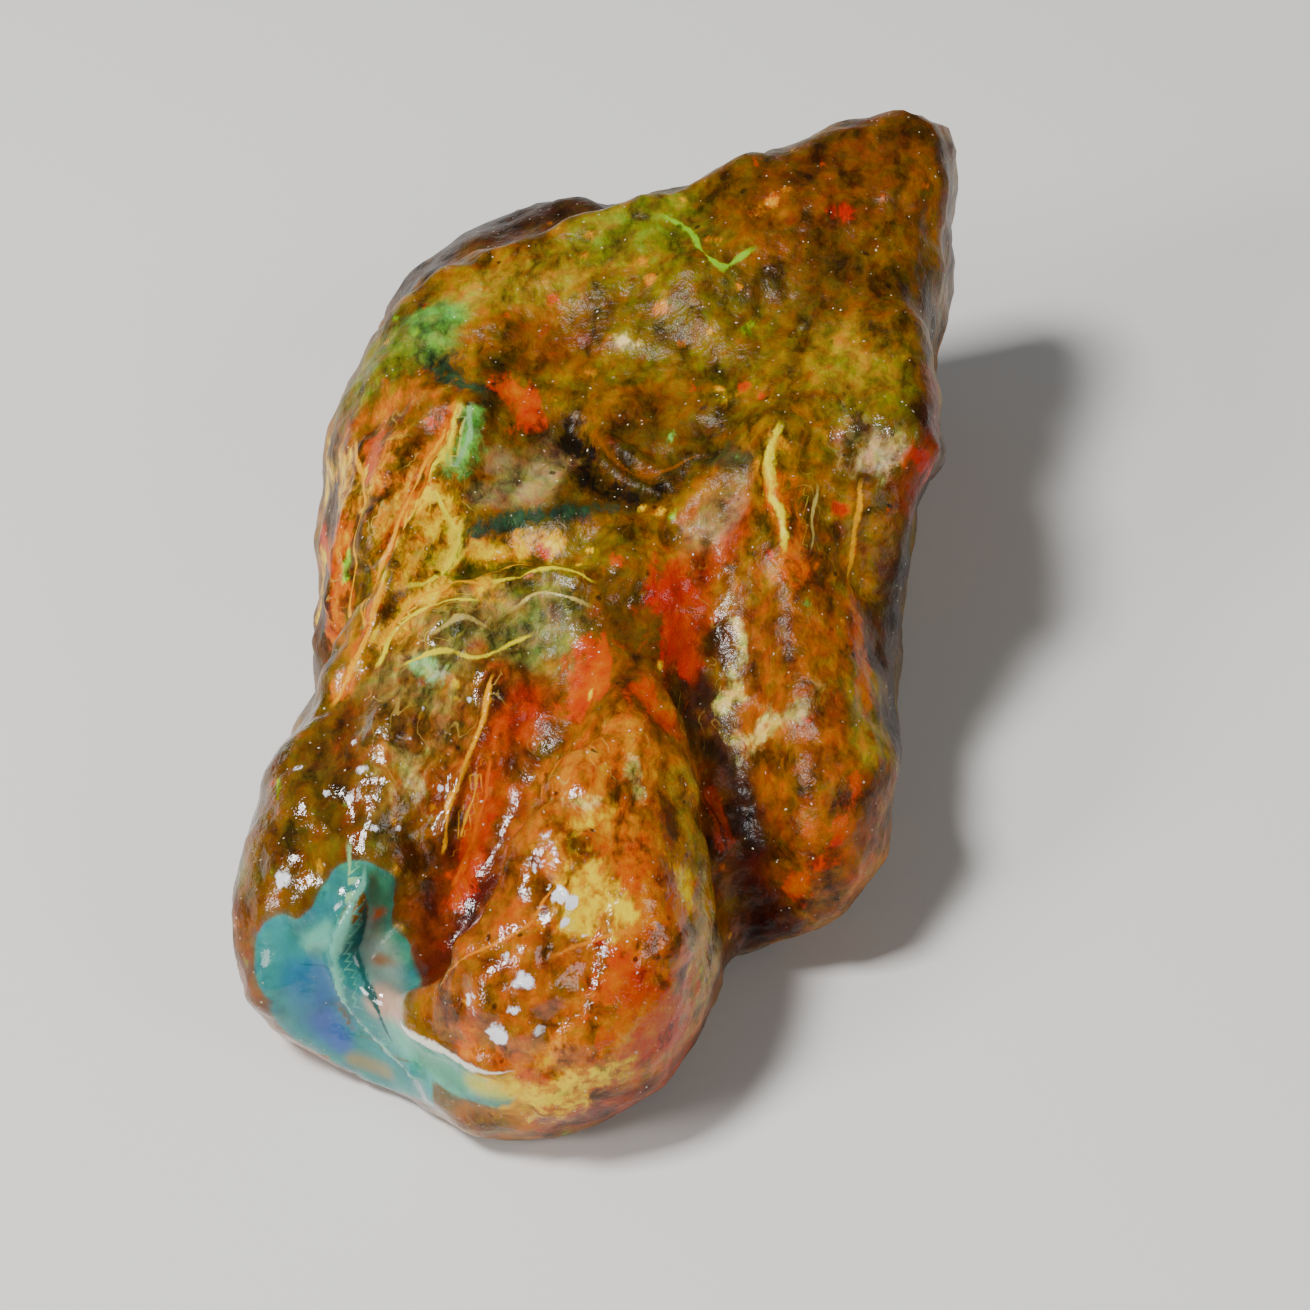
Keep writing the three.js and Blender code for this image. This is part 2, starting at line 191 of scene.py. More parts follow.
# The fine detail in millimetres: how far each kind stands out, and how far apart its features are.
SWELL_HEIGHT, SWELL_APART = 0.035, 1.9
RIDGE_HEIGHT, RIDGE_APART = 0.09, 1.1
BEAD_HEIGHT, BEAD_APART = 0.26, 1.0
CREASE_HEIGHT, CREASE_APART = 0.05, 0.9
GRAIN_HEIGHT, GRAIN_APART = 0.035, 0.5
PIT_DEPTH, PIT_APART = 0.07, 0.9
BEAD_RADIUS = 0.75  # in spacings, like the pits'
PIT_RADIUS = 0.28
PIT_SHARE = 0.28
DETAIL_STARTS = 0.8  # how high up all of the detail is there
FLAT_BELOW = 0.02

# Where the skin is wrinkled, lumpy, smooth, threaded or glossy: middle, half sizes and strength.
WRINKLED = tenths({
    "left lobe": ((-65, -45, 85), (40, 60, 40), 10),
    "left flank": ((-95, 25, 80), (30, 65, 50), 8),
    "waist": ((-40, -5, 95), (50, 30, 30), 8),
    "front neck": ((0, -50, 85), (35, 45, 40), 7),
    "right side": ((55, 15, 95), (30, 55, 40), 5),
})
BEADED = tenths({
    "front lobe left": ((-39, -146, 66), (28, 30, 34), 10),
    "front lobe top": ((-30, -110, 84), (19, 28, 22), 8),
    "left lobe low": ((-80, -86, 74), (16, 24, 20), 5),
    "left shoulder": ((-98, -90, 65), (28, 45, 30), 3),
})
SMOOTH = tenths({
    "fracture scoop": ((-86, -129, 38), (24, 24, 30), 10),
    "fracture tail": ((-58, -154, 32), (26, 15, 14), 9),
    "right flank": ((96, 40, 60), (20, 120, 50), 6),
})
THREADED = tenths({
    "left lobe": ((-64, -46, 88), (34, 55, 30), 9),
    "neck": ((12, -45, 76), (18, 55, 30), 5),
    "front lobe top": ((-16, -86, 88), (26, 30, 22), 8),
    "left flank": ((-90, 20, 86), (28, 60, 38), 10),
    "right side": ((50, 15, 100), (24, 40, 25), 4),
    "fold": ((-68, 10, 96), (16, 40, 18), 9),
    "arcs": ((-42, -10, 92), (30, 16, 16), 8),
})
GLOSSY = tenths({
    "front lobe": ((-24, -125, 70), (44, 60, 50), 10),
    "left shoulder": ((-98, -85, 65), (30, 55, 40), 8),
    "left lobe": ((-68, -60, 80), (30, 55, 30), 8),
    "fracture": ((-78, -135, 30), (50, 35, 35), 10),
    "right shoulder": ((65, 45, 110), (22, 28, 25), 6),
    "neck": ((0, -30, 90), (30, 40, 30), 5),
    "underside": ((0, 0, 0), (120, 200, 30), 4),
})

# The zones of colour, in painting order: colour, half width, strength and places.
ZONES = tenths({
    "terrace": ("plum", 32, 9, (-75, 170, 70), (-40, 190, 75), (0, 190, 70)),
    "back": ("chocolate", 40, 7, (20, 185, 40), (80, 190, 60)),
    "top": ("olive", 28, 6, (-20, 90, 106), (20, 85, 112)),
    "olive band": ("khaki", 10, 7.5, (-64, 110, 104), (-46, 112, 108), (-20, 120, 112)),
    "top brown": ("chestnut", 26, 7.5, (50, 135, 126), (80, 155, 130)),
    "top right": ("umber", 20, 5, (50, 94, 118), (79, 110, 121)),
    "green glow": ("moss", 13, 9, (-16, 132, 114), (6, 130, 118)),
    "jade corner": ("jade", 11, 9.5, (-77, 98, 102), (-72, 103, 103)),
    "jade corner low": ("moss", 12, 9, (-87, 94, 96), (-94, 86, 90)),
    "red brown": ("brick", 11, 5.5, (-38, 93, 103), (-28, 88, 104)),
    "top orange": ("sienna", 9, 5, (-14, 64, 100), (6, 60, 102)),
    "middle": ("umber", 18, 8, (-42, 44, 99), (-28, 30, 98), (6, 46, 102)),
    "middle grey": ("ash", 9, 7, (-46, 30, 98), (-34, 38, 99)),
    "dark pool": ("pine", 6, 7.5, (21, 34, 103), (28, 30, 106)),
    "right middle": ("bronze", 18, 7, (50, 15, 104), (52, -10, 89)),
    "right lobe": ("sienna", 26, 7, (46, -30, 80), (50, -65, 72), (45, -85, 46)),
    # The right flank is dark purple-brown: the stone's own rim, darkened by painted shade of the side turned
    # from the light.
    "right flank": ("plum", 18, 8.5, (96, 60, 80), (88, 20, 80), (78, -15, 66), (74, -45, 54)),
    "right gold": ("khaki", 9, 8, (62, -34, 76), (64, -56, 68)),
    "right side red": ("brick", 9, 8.5, (86, 58, 110), (87, 40, 105), (80, 24, 98)),
    "right shoulder": ("khaki", 12, 6, (60, 68, 117), (63, 54, 116)),
    # The right valley and its foot under the right lobe are darkened with painted shade of the groove and the
    # overhang.
    "right valley": ("plum", 9, 9.5, (12, -32, 78), (16, -55, 65), (23, -67, 55), (28, -82, 48)),
    "right wine": ("wine", 10, 9, (30, -86, 40), (32, -96, 20)),
    "left flank": ("chocolate", 20, 8.5, (-100, 50, 75), (-104, -10, 60)),
    "flank groove": ("chestnut", 4, 9, (-72, 48, 99), (-75, 30, 95), (-79, 10, 94), (-84, -8, 90)),
    "waist": ("olive", 10, 7, (-54, -4, 92), (-16, 2, 93)),
    "left lobe": ("straw", 20, 7.5, (-50, -34, 86), (-66, -54, 84), (-76, -76, 79)),
    "left lobe green": ("sage", 10, 9, (-32, -23, 87), (-46, -32, 86), (-64, -44, 86)),
    "left lobe low": ("amber", 12, 7.5, (-74, -64, 84), (-82, -82, 78)),
    "left lobe inner": ("amber", 8, 8, (-49, -38, 84), (-60, -66, 78), (-68, -84, 70)),
    "left shoulder": ("umber", 22, 7.5, (-98, -60, 76), (-106, -90, 69), (-113, -120, 46)),
    "shoulder groove": ("chestnut", 3.5, 8.5, (-93, -54, 79), (-91, -84, 74), (-90, -100, 69)),
    "shoulder foot": ("cinnamon", 13, 8, (-116, -100, 44), (-108, -132, 24)),
    "shoulder edge": ("moss", 4.5, 7, (-124, -84, 56), (-125, -96, 54)),
    "front valley": ("brick", 12, 9.5, (-40, -50, 80), (-52, -84, 64), (-62, -108, 52), (-64, -124, 46)),
    "valley wall": ("ember", 6, 9, (-40, -51, 79), (-49, -74, 69), (-53, -92, 60)),
    # The valley's floor and foot are a darker wine than its red-brown walls: painted shade in the groove.
    "valley floor": ("wine", 5.5, 9.7, (-37, -67, 71), (-44, -85, 63), (-50, -99, 56), (-55, -114, 50)),
    "valley foot": ("wine", 5, 8, (-59, -119, 45), (-66, -126, 43)),
    "neck": ("chestnut", 16, 8, (-4, -18, 86), (-6, -50, 86), (2, -70, 82)),
    "neck top": ("umber", 8, 8, (-10, -10, 93), (-4, -26, 90)),
    "neck red": ("ember", 7, 9, (30, 12, 97), (20, 5, 94), (13, -5, 91), (10, -28, 80)),
    "front lobe": ("copper", 34, 8.5, (-14, -90, 86), (-14, -135, 78), (-16, -160, 50)),
    "lobe left": ("sienna", 18, 7.5, (-40, -115, 76), (-48, -144, 56)),
    "lobe rim": ("khaki", 9, 7.5, (9, -86, 78), (15, -114, 66), (15, -136, 52)),
    "lobe edge": ("chestnut", 8, 8, (15, -66, 62), (23, -96, 46), (23, -124, 34), (8, -154, 24)),
    "lobe foot": ("brick", 11, 8.5, (-20, -166, 22), (10, -150, 26)),
    "grey neck": ("ash", 6, 6, (16, 9, 93), (23, 15, 97)),
    "under brown": ("cinnamon", 5, 9, (-82, -144, 8), (-62, -152, 16), (-50, -158, 16)),
})

# Bright patches that lie over the zones, by colour: half width and places.
PATCHES = tenths({
    "tan": (
        (11, (-73, 66, 102), (-83, 70, 95), (-92, 70, 88)),
        (3.5, (-19, 48, 99), (-10, 38, 99), (-1, 30, 98)),
    ),
    "pine": (
        (5.5, (-69, 86, 101), (-66, 72, 102), (-57, 65, 103)),
        # This dark green strip, beside the waist groove, is painted shade of the fold.
        (4, (-56, 11, 94), (-44, 16, 93), (-25, 18, 95), (-12, 22, 93)),
    ),
    "ash": ((7, (61, 38, 111), (66, 31, 109), (71, 34, 111)),),
    "apricot": (
        (6, (-81, 49, 97), (-82, 32, 95), (-84, 15, 92)),
        (5, (-26, -160, 54), (-30, -162, 51), (-34, -163, 48)),
    ),
    "fire orange": (
        (5, (-88, 56, 92), (-89, 39, 93)), (4, (-108, 57, 49), (-106, 42, 47)),
        (6.2, (-19, -35, 84), (-19, -46, 82), (-23, -52, 78)), (5, (-4, -53, 86), (0, -62, 85)),
        (11, (-6, -145, 68), (0, -150, 59), (1, -152, 51)), (2.6, (59, -71, 68), (55, -82, 60)),
        (4.5, (-49, 72, 100), (-43, 67, 99), (-40, 58, 98)), (4, (-39, 9, 89), (-34, 6, 89)),
        (3, (-54, -79, 68), (-55, -93, 57), (-59, -105, 51)), (3, (16, -69, 58), (21, -80, 50)),
        (4, (42, -90, 40), (49, -86, 50)), (5, (-12, -158, 52), (-4, -156, 50)),
    ),
    "gold": (
        (8, (-100, 61, 79), (-96, 43, 84), (-93, 28, 88)), (11, (-68, 18, 97), (-70, 4, 96), (-77, -4, 95)),
        (5, (-54, 7, 90), (-43, 10, 89), (-33, 7, 89)),
        (3.5, (38, 34, 111), (35, 22, 107), (38, 11, 104), (40, 0, 101)),
        (5, (-82, -29, 85), (-75, -17, 89), (-66, -11, 89), (-53, -15, 94)),
        (3.5, (-32, -134, 78), (-22, -136, 76)), (4.5, (-20, -110, 87), (-14, -104, 88)),
        (4, (4, -112, 79), (9, -120, 72)),
    ),
    "lime": ((2.4, (-96, 13, 82), (-96, 4, 79)),),
    "yellow fire": (
        (4.5, (-108, 44, 40), (-107, 27, 41), (-106, 91, 56), (-105, 66, 67)),
        (10, (-22, -123, 83), (-15, -128, 80), (-9, -132, 78)),
        (11, (-40, -165, 38), (-31, -166, 40), (-27, -165, 43)), (4.2, (-18, -40, 83), (-20, -49, 81)),
        (5, (-20, -166, 43), (-12, -162, 45)),
    ),
    "jade": ((3.5, (-58, 55, 103), (-58, 43, 101), (-64, 30, 100)),),
    "lemon": ((3, (-64, 13, 96), (-61, 4, 92), (-66, -3, 91)),),
    "tangerine": (
        (3, (-82, -14, 91), (-88, -30, 84), (-95, -44, 77)),
        (5, (-98, 27, 83), (-98, -1, 76), (-100, -9, 66)),
        (3.5, (-65, 56, 103), (-70, 33, 98), (-78, 18, 93), (-84, 1, 85)),
        (8, (-4, -136, 75), (-1, -142, 69), (-4, -148, 65)),
        (6, (-54, -157, 46), (-42, -162, 47), (-33, -164, 46)),
        (5, (62, -2, 90), (65, -20, 80), (64, -40, 74)), (6, (38, 14, 106), (42, 2, 101), (44, -10, 94)),
        (9, (-14, -112, 87), (-6, -124, 82), (-4, -136, 75)), (5, (6, -126, 72), (8, -136, 64)),
        (6, (-14, -86, 90), (-20, -96, 88)),
    ),
    "pale green": ((4, (-70, -41, 87), (-65, -45, 86)),),
    "fire red": ((7, (4, -8, 89), (5, -20, 86), (6, -30, 80)), (3, (80, 33, 106), (85, 34, 98))),
    "cream": (
        (3, (-18, -102, 90), (-28, -100, 87)), (2, (-29, -67, 76), (-27, -76, 80)),
        (2.4, (-8, -84, 90), (-5, -96, 89)), (2.2, (25, -17, 80), (27, -25, 77), (25, -30, 73)),
        (2.2, (21, -49, 65), (27, -52, 64), (33, -54, 70), (27, -56, 63)),
        (3, (24, -36, 71), (21, -42, 68)), (2, (24, -38, 70), (34, -46, 76), (30, -59, 66)),
    ),
    "straw": ((4, (35, -53, 72), (44, -52, 78), (50, -46, 81)), (6, (-75, -74, 80), (-72, -84, 73))),
    # Black along the crack and in the pit is painted shade inside these hollows.
    "soot": ((6, (-28, 56, 96), (-20, 36, 95), (-14, 25, 94), (-5, 26, 96), (1, 28, 97)), (3, (5, 10, 92))),
})

# The broken face in front: the zones that make up its outline, and those inside it.
SCOOP = tenths({
    "scoop": ("teal", 14, 10, (-100, -122, 43), (-86, -124, 46), (-80, -134, 36)),
    "scoop top": ("sea green", 6, 10, (-88, -107, 66), (-79, -108, 62), (-77, -119, 50)),
    "scoop tail": ("pale teal", 7.5, 10, (-72, -143, 36), (-60, -153, 35), (-46, -161, 36)),
    "scoop low": ("teal", 9, 10, (-105, -128, 32), (-97, -130, 19), (-84, -136, 13), (-69, -148, 21)),
    "scoop left": ("teal", 9, 10, (-108, -119, 49), (-108, -125, 41)),
    "scoop shoulder": ("teal", 5.5, 10, (-103, -119, 52), (-95, -117, 57), (-89, -110, 64)),
})
SCOOP_COLOURS = tenths({
    "pale": ("mist", 5, 9, (-84, -115, 55), (-81, -120, 49), (-78, -130, 44)),
    "blue": ("azure", 7, 8, (-103, -124, 40), (-99, -127, 30), (-96, -129, 24)),
    "violet": ("violet", 4, 9, (-98, -129, 26), (-93, -131, 19)),
    "light": ("pale teal", 3.5, 8, (-95, -119, 55), (-100, -119, 51)),
    "peach": ("peach", 4.5, 9.5, (-80, -134, 41), (-74, -140, 44)),
    "band": ("tan", 2, 8, (-81, -122, 46), (-75, -124, 47)),
    "arc": ("tangerine", 1.6, 9, (-81, -113, 56), (-78, -112, 55), (-78, -116, 52)),
    "green": ("sea green", 4, 9, (-69, -149, 33), (-56, -159, 35)),
    # The deep band beside the ridge is partly the face's deep teal and partly painted shade.
    "deep": ("deep teal", 3, 9, (-87, -114, 58), (-90, -121, 50), (-86, -128, 39), (-77, -136, 30)),
    "deep blue": ("cobalt", 3.5, 6, (-97, -123, 42), (-97, -127, 32)),
    "tail end": ("lemon", 5, 9, (-49, -160, 38), (-42, -163, 39)),
    "foot": ("ash", 3, 8, (-89, -134, 14), (-80, -139, 14)),
})

# Single flecks, by colour: middle and half width.
FLECKS = tenths({
    "apricot": (
        (-5, 116, 115, 3.2), (-2, 108, 114, 2.5), (2, 97, 111, 3.5), (19, 119, 121, 3), (28, 101, 117, 2.5),
        (32, 129, 124, 3), (38, 134, 126, 3), (43, 138, 127, 2.5), (-19, 150, 113, 3.5),
        (-24, 124, 112, 2.5), (9, 84, 108, 2), (-3, 8, 94, 2.5),
    ),
    "fire orange": (
        (-75, 111, 101, 2), (-34, 107, 107, 3), (-48, 100, 106, 2), (28, 63, 108, 2.5), (34, 57, 108, 1.8),
        (47, -55, 77, 2.8), (77, 30, 105, 2.5), (35, -4, 98, 2.5), (-12, -4, 95, 3), (50, -78, 65, 2.5),
        (-42, -112, 69, 2.5), (-60, -98, 56, 2), (-71, 54, 101, 2.5), (62, 6, 89, 2),
    ),
    "fire red": (
        (61, 128, 127, 4.5), (14, 66, 103, 3), (-106, 46, 56, 2.5), (-51, -82, 63, 3), (54, -86, 56, 2),
        (57, 15, 99, 2.5), (86, 39, 102, 3), (-16, -139, 74, 2.5),
    ),
    "yellow fire": (
        (23, 58, 106, 3.2), (21, 64, 107, 2.2), (-60, -46, 83, 1.8), (-60, -50, 81, 1.6),
        (-66, -83, 69, 1.8), (-20, 5, 91, 1.6), (-23, 0, 89, 1.6), (-76, -101, 62, 2.2),
        (-77, -90, 71, 2.2), (-4, 22, 94, 2.5), (2, 19, 94, 2), (67, -73, 51, 2),
    ),
    "cream": ((-11, 87, 104, 3.2), (-6, 86, 105, 2), (-73, -87, 70, 3), (-53, -115, 49, 2.5)),
    "lime": ((-78, 97, 102, 2.5), (29, 86, 112, 4), (9, -125, 69, 2)),
    "rose": ((7, -75, 82, 1.4),),
    # The black flecks are painted shade in small hollows, the first in the front lobe's dimple.
    "soot": ((-31, -125, 82, 2.6), (-49, 94, 103, 1.6), (-22, -23, 89, 1.8)),
})

# Thin bright lines, drawn finer than the skin's cells, by colour: half width and path.
LINES = tenths({
    "lemon": (
        (1.1, (-62, 54, 103), (-68, 26, 99), (-76, 14, 93), (-82, -9, 91)),
        (1.2, (-61, 10, 95), (-61, 4, 91), (-63, -4, 89), (-73, -10, 91)),
        (1, (-67, 21, 98), (-64, 14, 97), (-62, 10, 95)),
        (1.3, (-46, -12, 93), (-36, -7, 92), (-22, -11, 94)),
        (0.8, (-73, -40, 87), (-62, -37, 88), (-52, -37, 84), (-40, -26, 83)),
        (1.3, (38, 34, 111), (35, 23, 107), (36, 15, 105), (40, 9, 104), (40, 0, 101)),
        (0.7, (-83, -36, 84), (-78, -24, 87), (-69, -19, 89), (-56, -21, 94)),
    ),
    "gold": (
        (1.1, (-82, -9, 91), (-86, -24, 87), (-90, -35, 82), (-95, -44, 77)),
        (0.9, (-82, -29, 85), (-75, -17, 89), (-66, -11, 89), (-53, -15, 94)),
        (0.9, (-54, -8, 91), (-42, -1, 91), (-28, -2, 91)),
        (1, (-49, -46, 81), (-53, -62, 76), (-57, -72, 73), (-62, -81, 69), (-63, -92, 62)),
        (1, (63, 20, 102), (61, 8, 90), (60, -4, 84)),
        (1.1, (-67, 47, 99), (-74, 32, 95), (-80, 15, 92), (-86, 1, 84), (-88, -23, 86)),
        (1, (-95, 58, 86), (-90, 32, 90), (-92, 10, 86), (-96, -10, 76)),
        (0.6, (-54, -74, 70), (-57, -88, 64)),
    ),
    "pale green": (
        (1, (-58, 55, 103), (-59, 45, 101), (-63, 34, 100)),
        (0.8, (-90, -102, 68), (-89, -112, 63), (-91, -120, 54)),
    ),
    "cream": (
        (1, (-43, -19, 89), (-35, -15, 91), (-24, -18, 91)),
        (0.8, (-65, -31, 91), (-59, -26, 93), (-52, -27, 90)), (0.7, (49, 16, 103), (48, 1, 98)),
    ),
    "brick": ((0.7, (11, -43, 72), (10, -61, 73), (16, -69, 58), (21, -80, 50)),),
    "pale teal": (
        # The pale teal line along the fracture ridge is its painted highlight.
        (1.5, (-86, -108, 65), (-89, -116, 59), (-94, -123, 49), (-90, -128, 37), (-79, -137, 29),
         (-70, -148, 26)),
    ),
    # The white line along the toe's edge is a painted highlight.
    "white": ((1.1, (-72, -144, 42), (-58, -155, 43), (-43, -162, 46)),),
    "apricot": (
        (0.7, (-31, -128, 81), (-38, -138, 75), (-53, -140, 69), (-60, -142, 58)),
        (1.2, (-28, -140, 70), (-22, -139, 73), (-10, -137, 75)),
    ),
    "lime": ((1.5, (6, 132, 119), (12, 126, 119), (15, 112, 121), (22, 107, 120), (29, 112, 120)),),
    "tan": ((0.7, (-19, 46, 98), (-10, 37, 98), (-2, 29, 97), (12, 36, 102)),),
    "deep teal": (
        # The first deep teal line, beside the fracture ridge, is partly the face's own colour and partly
        # painted shade along the crease.
        (1.4, (-85, -113, 60), (-88, -121, 51), (-85, -128, 44), (-76, -138, 33)),
        (0.8, (-95, -124, 45), (-101, -123, 45)),
    ),
    "tangerine": ((0.8, (-50, -69, 70), (-53, -84, 62), (-58, -98, 56)),),
})

# Painted glints: pale spots painted as the highlights of small flat faces: middle and half width.
PAINTED_GLINTS = tenths((
    (-51, -150, 63, 3), (-44, -158, 57, 3.4), (-34, -158, 58, 2.4), (-37, -150, 69, 3),
    (-41, -144, 72, 2.2), (-35, -140, 75, 2), (-27, -128, 81, 2.6), (-14, -142, 72, 1.6),
    (-31, -112, 88, 2.4), (-24, -130, 80, 2), (-50, -154, 60, 2), (-39, -155, 64, 2.2),
    (-42, -150, 68, 1.8), (-31, -154, 62, 1.6), (-47, -147, 69, 1.4), (-26, -135, 77, 1.6),
    (-20, -137, 74, 1.2), (-86, -77, 78, 2.2), (-83, -93, 70, 2), (-90, -84, 74, 1.4), (-80, -70, 82, 1.6),
    (-77, -83, 76, 1.2), (-109, -107, 64, 2.6), (-106, -72, 74, 1.4), (-97, -82, 74, 1.2),
    (-64, -78, 72, 1.2), (-61, -27, 93, 1), (-56, -49, 80, 1), (-27, -152, 63, 1.4), (-56, -153, 52, 1.6),
    (-33, -146, 72, 1.4), (-45, -155, 62, 1.8), (-73, -67, 82, 1.2), (-70, -57, 84, 1.2),
    (-20, -118, 86, 1.4), (-34, -120, 84, 1.4), (-15, -122, 84, 1.2), (-25, -104, 89, 1.2),
    (-89, -66, 79, 1.4), (-75, -92, 70, 1.4),
))

# The colours of the stone, named for how they look.
PALETTE = {
    "honey": "#966408", "bronze": "#906604", "chocolate": "#40260A", "olive": "#6E5E08",
    "moss": "#76781E", "chestnut": "#6C3C0C", "plum": "#2C1C1A", "umber": "#604410",
    "amber": "#9A5A10", "cinnamon": "#7E4212", "tan": "#96580A", "apricot": "#E08A18",
    "gold": "#F0AC00", "lemon": "#F2DE1C", "lime": "#96C824", "jade": "#6CAA4C",
    "pine": "#22402A", "sage": "#7E8040", "pale green": "#9CCB8A", "sea green": "#4A9A78",
    "teal": "#3C8C88", "pale teal": "#74BCA4", "azure": "#387EA8", "violet": "#4866AC",
    "mist": "#8A9E90", "peach": "#C9A48C", "cream": "#D2BC64", "white": "#F4EEDC",
    "ash": "#A08E5E", "khaki": "#A08420", "sienna": "#9A520C", "copper": "#BA6A0E",
    "tangerine": "#E06C00", "brick": "#80320A", "ember": "#A83400", "wine": "#48120C",
    # The first colour on the next line is the black of the painted shade in hollows.
    "soot": "#12120E", "fire orange": "#F24C00", "fire red": "#DE2600", "yellow fire": "#FFC400",
    "rose": "#B81030", "deep teal": "#1C5C58", "cobalt": "#2C64A0", "straw": "#AE9A50",
}
FLASH_COLOURS = (
    "tangerine", "apricot", "gold", "fire orange", "tan", "lime", "yellow fire", "jade", "copper",
)
FLASH_SPACING = 0.6
FLASH_RADIUS = 0.32  # in spacings
FLASH_SHARE = 0.12  # of the grains
FLECK_WIDTH = 0.8  # of the width that a fleck is given with
BROWNS_APART = 4.2
DARKS_APART = 2.6
WARP_APART = 1.1
FRAY_APART = 0.8

# How far apart the features of each of the material's patterns are, in millimetres.
APART = {
    "bend": 0.8, "crumbs": 0.5, "clouds": 1.0, "fibres": 0.34, "drift": 0.45, "threads": 0.9, "breaks": 1.1,
    "painted sparkles": 0.38, "dark specks": 0.8, "ripples": 0.32,
}
BEND = 0.55  # how much noise moves a pattern, in millimetres, like the depths of the bumps
FLOW_TURN = np.radians(-14.0)
MOST_GREEN = 0.62
MOST_BLUE = 0.5
MOST_RED = 0.5  # where there is no green
RED_FOR_GREEN = 0.65
BUMP_DEPTH = 0.14
WET_BUMP_DEPTH = 0.07

# The stage. Each light: where it stands and its width in metres, and its power in watts.
LOOKED_AT = (1.1, -2.4, 5.0)  # in millimetres
LIGHTS = {
    "key softbox": ((-0.13, -0.06, 0.27), 0.065, 1.05),
    "low softbox": ((-0.22, -0.15, 0.16), 0.08, 0.4),
    "fill softbox": ((0.24, -0.16, 0.22), 0.12, 0.2),
}
ROOM_COLOUR = (0.8, 0.82, 0.85, 1)
ROOM_LIGHT = 0.12
FLOOR_ROUGHNESS = 0.8


def linear(hex_colour):
    """An sRGB hex colour as linear red, green and blue."""
    share = np.array([int(hex_colour[i:i + 2], 16) for i in (1, 3, 5)]) / 255
    return np.where(share <= 0.04045, share / 12.92, ((share + 0.055) / 1.055) ** 2.4)


def round_max(a, b, rounding):
    """The larger of two distances, plus h squared times a quarter of the rounding near their tie."""
    overlap = np.maximum(rounding - np.abs(a - b), 0) / rounding
    return np.maximum(a, b) + overlap * overlap * rounding / 4


def distance_to_path(points, path):
    """How far each point is from a run of straight lines, or from a single place."""
    path = np.array(path, float)
    ends = path[1:] if len(path) > 1 else path
    least = np.full(len(points), np.inf)
    for start, end in zip(path, ends):
        run = end - start
        away = points - start
        along = np.clip(away @ run / max(run @ run, 1e-9), 0, 1)
        away -= along[:, None] * run
        least = np.minimum(least, (away * away).sum(1))
    return np.sqrt(least)


def near_path(points, path, reach):
    """The numbers of the points within reach of the ball round a path."""
    path = np.array(path, float)
    middle = (path.min(0) + path.max(0)) / 2
    radius = np.sqrt(((path - middle) ** 2).sum(1).max()) + reach
    return np.flatnonzero(((points - middle) ** 2).sum(1) < radius * radius)


def lobe_axes(turn, rise):
    """The matrix whose columns are a lobe's own axes: turned about Z after its far end is raised."""
    turn, rise = np.radians(turn), np.radians(rise)
    about_z = np.array([[np.cos(turn), -np.sin(turn), 0], [np.sin(turn), np.cos(turn), 0], [0, 0, 1]])
    about_x = np.array([[1, 0, 0], [0, np.cos(rise), -np.sin(rise)], [0, np.sin(rise), np.cos(rise)]])
    return about_z @ about_x


def lumps(points, apart):
    """Sine waves along each axis, each bent by a wave along the next, multiplied in pairs."""
    k = 2 * np.pi / apart
    x, y, z = points.T
    first = np.sin(k * x + 1.3 * np.sin(0.7 * k * y + 0.6))
    second = np.sin(k * 0.9 * y + 1.2 * np.sin(0.8 * k * z + 2.1))
    third = np.sin(k * 1.1 * z + 1.1 * np.sin(0.6 * k * x + 4.2))
    return (first * second + second * third + third * first) / 1.6


def raised(points, strokes):
    """The sum over the strokes of height times e to the minus square of distance over width."""
    total = np.zeros(len(points))
    for high, wide, *path in strokes.values():
        near = near_path(points, path, 3 * wide)
        away = distance_to_path(points[near], path) / wide
        total[near] += high * np.exp(-away * away)
    return total


def distance_to_stone(points):
    """How far each point is outside the stone.

    The largest of the block's face distances, the smallest of that and each lobe's, the largest
    of that and each valley's, all with rounded ties, less the relief and the lumps.
    """
    distance = None
    for at, looks in FACES.values():
        normal = np.array(looks) / np.linalg.norm(looks)
        above = (points - np.array(at)) @ normal
        distance = above if distance is None else round_max(distance, above, EDGE_ROUNDING)
    for at, half, turn, rise, melt in LOBES.values():
        local = (points - np.array(at)) @ lobe_axes(turn, rise) / np.array(half)
        in_half_sizes = np.sqrt((local * local).sum(1))
        slope = np.sqrt(((local / np.array(half)) ** 2).sum(1))
        to_lobe = in_half_sizes * (in_half_sizes - 1) / np.maximum(slope, 1e-6)
        distance = -round_max(-distance, -to_lobe, melt)
    for path in VALLEYS.values():
        distance = round_max(distance, VALLEY_RADIUS - distance_to_path(points, path), VALLEY_ROUNDING)
    distance = distance - raised(points, RELIEF)
    for high, apart in LUMPS:
        distance = distance - high * lumps(points, apart)
    return round_max(distance, -points[:, 2], REST_ROUNDING)


def draw_onto(points):
    """Moves each point to the surface along the slope of the distance. Gives the points and slopes."""
    distance = distance_to_stone(points)
    outward = np.empty_like(points)
    for axis in range(3):
        probed = points.copy()
        probed[:, axis] += PROBE
        outward[:, axis] = (distance_to_stone(probed) - distance) / PROBE
    slope = np.sqrt((outward * outward).sum(1))
    outward /= np.maximum(slope, 1e-9)[:, None]
    return points - outward * (distance / np.maximum(slope, LEAST_SLOPE))[:, None], outward


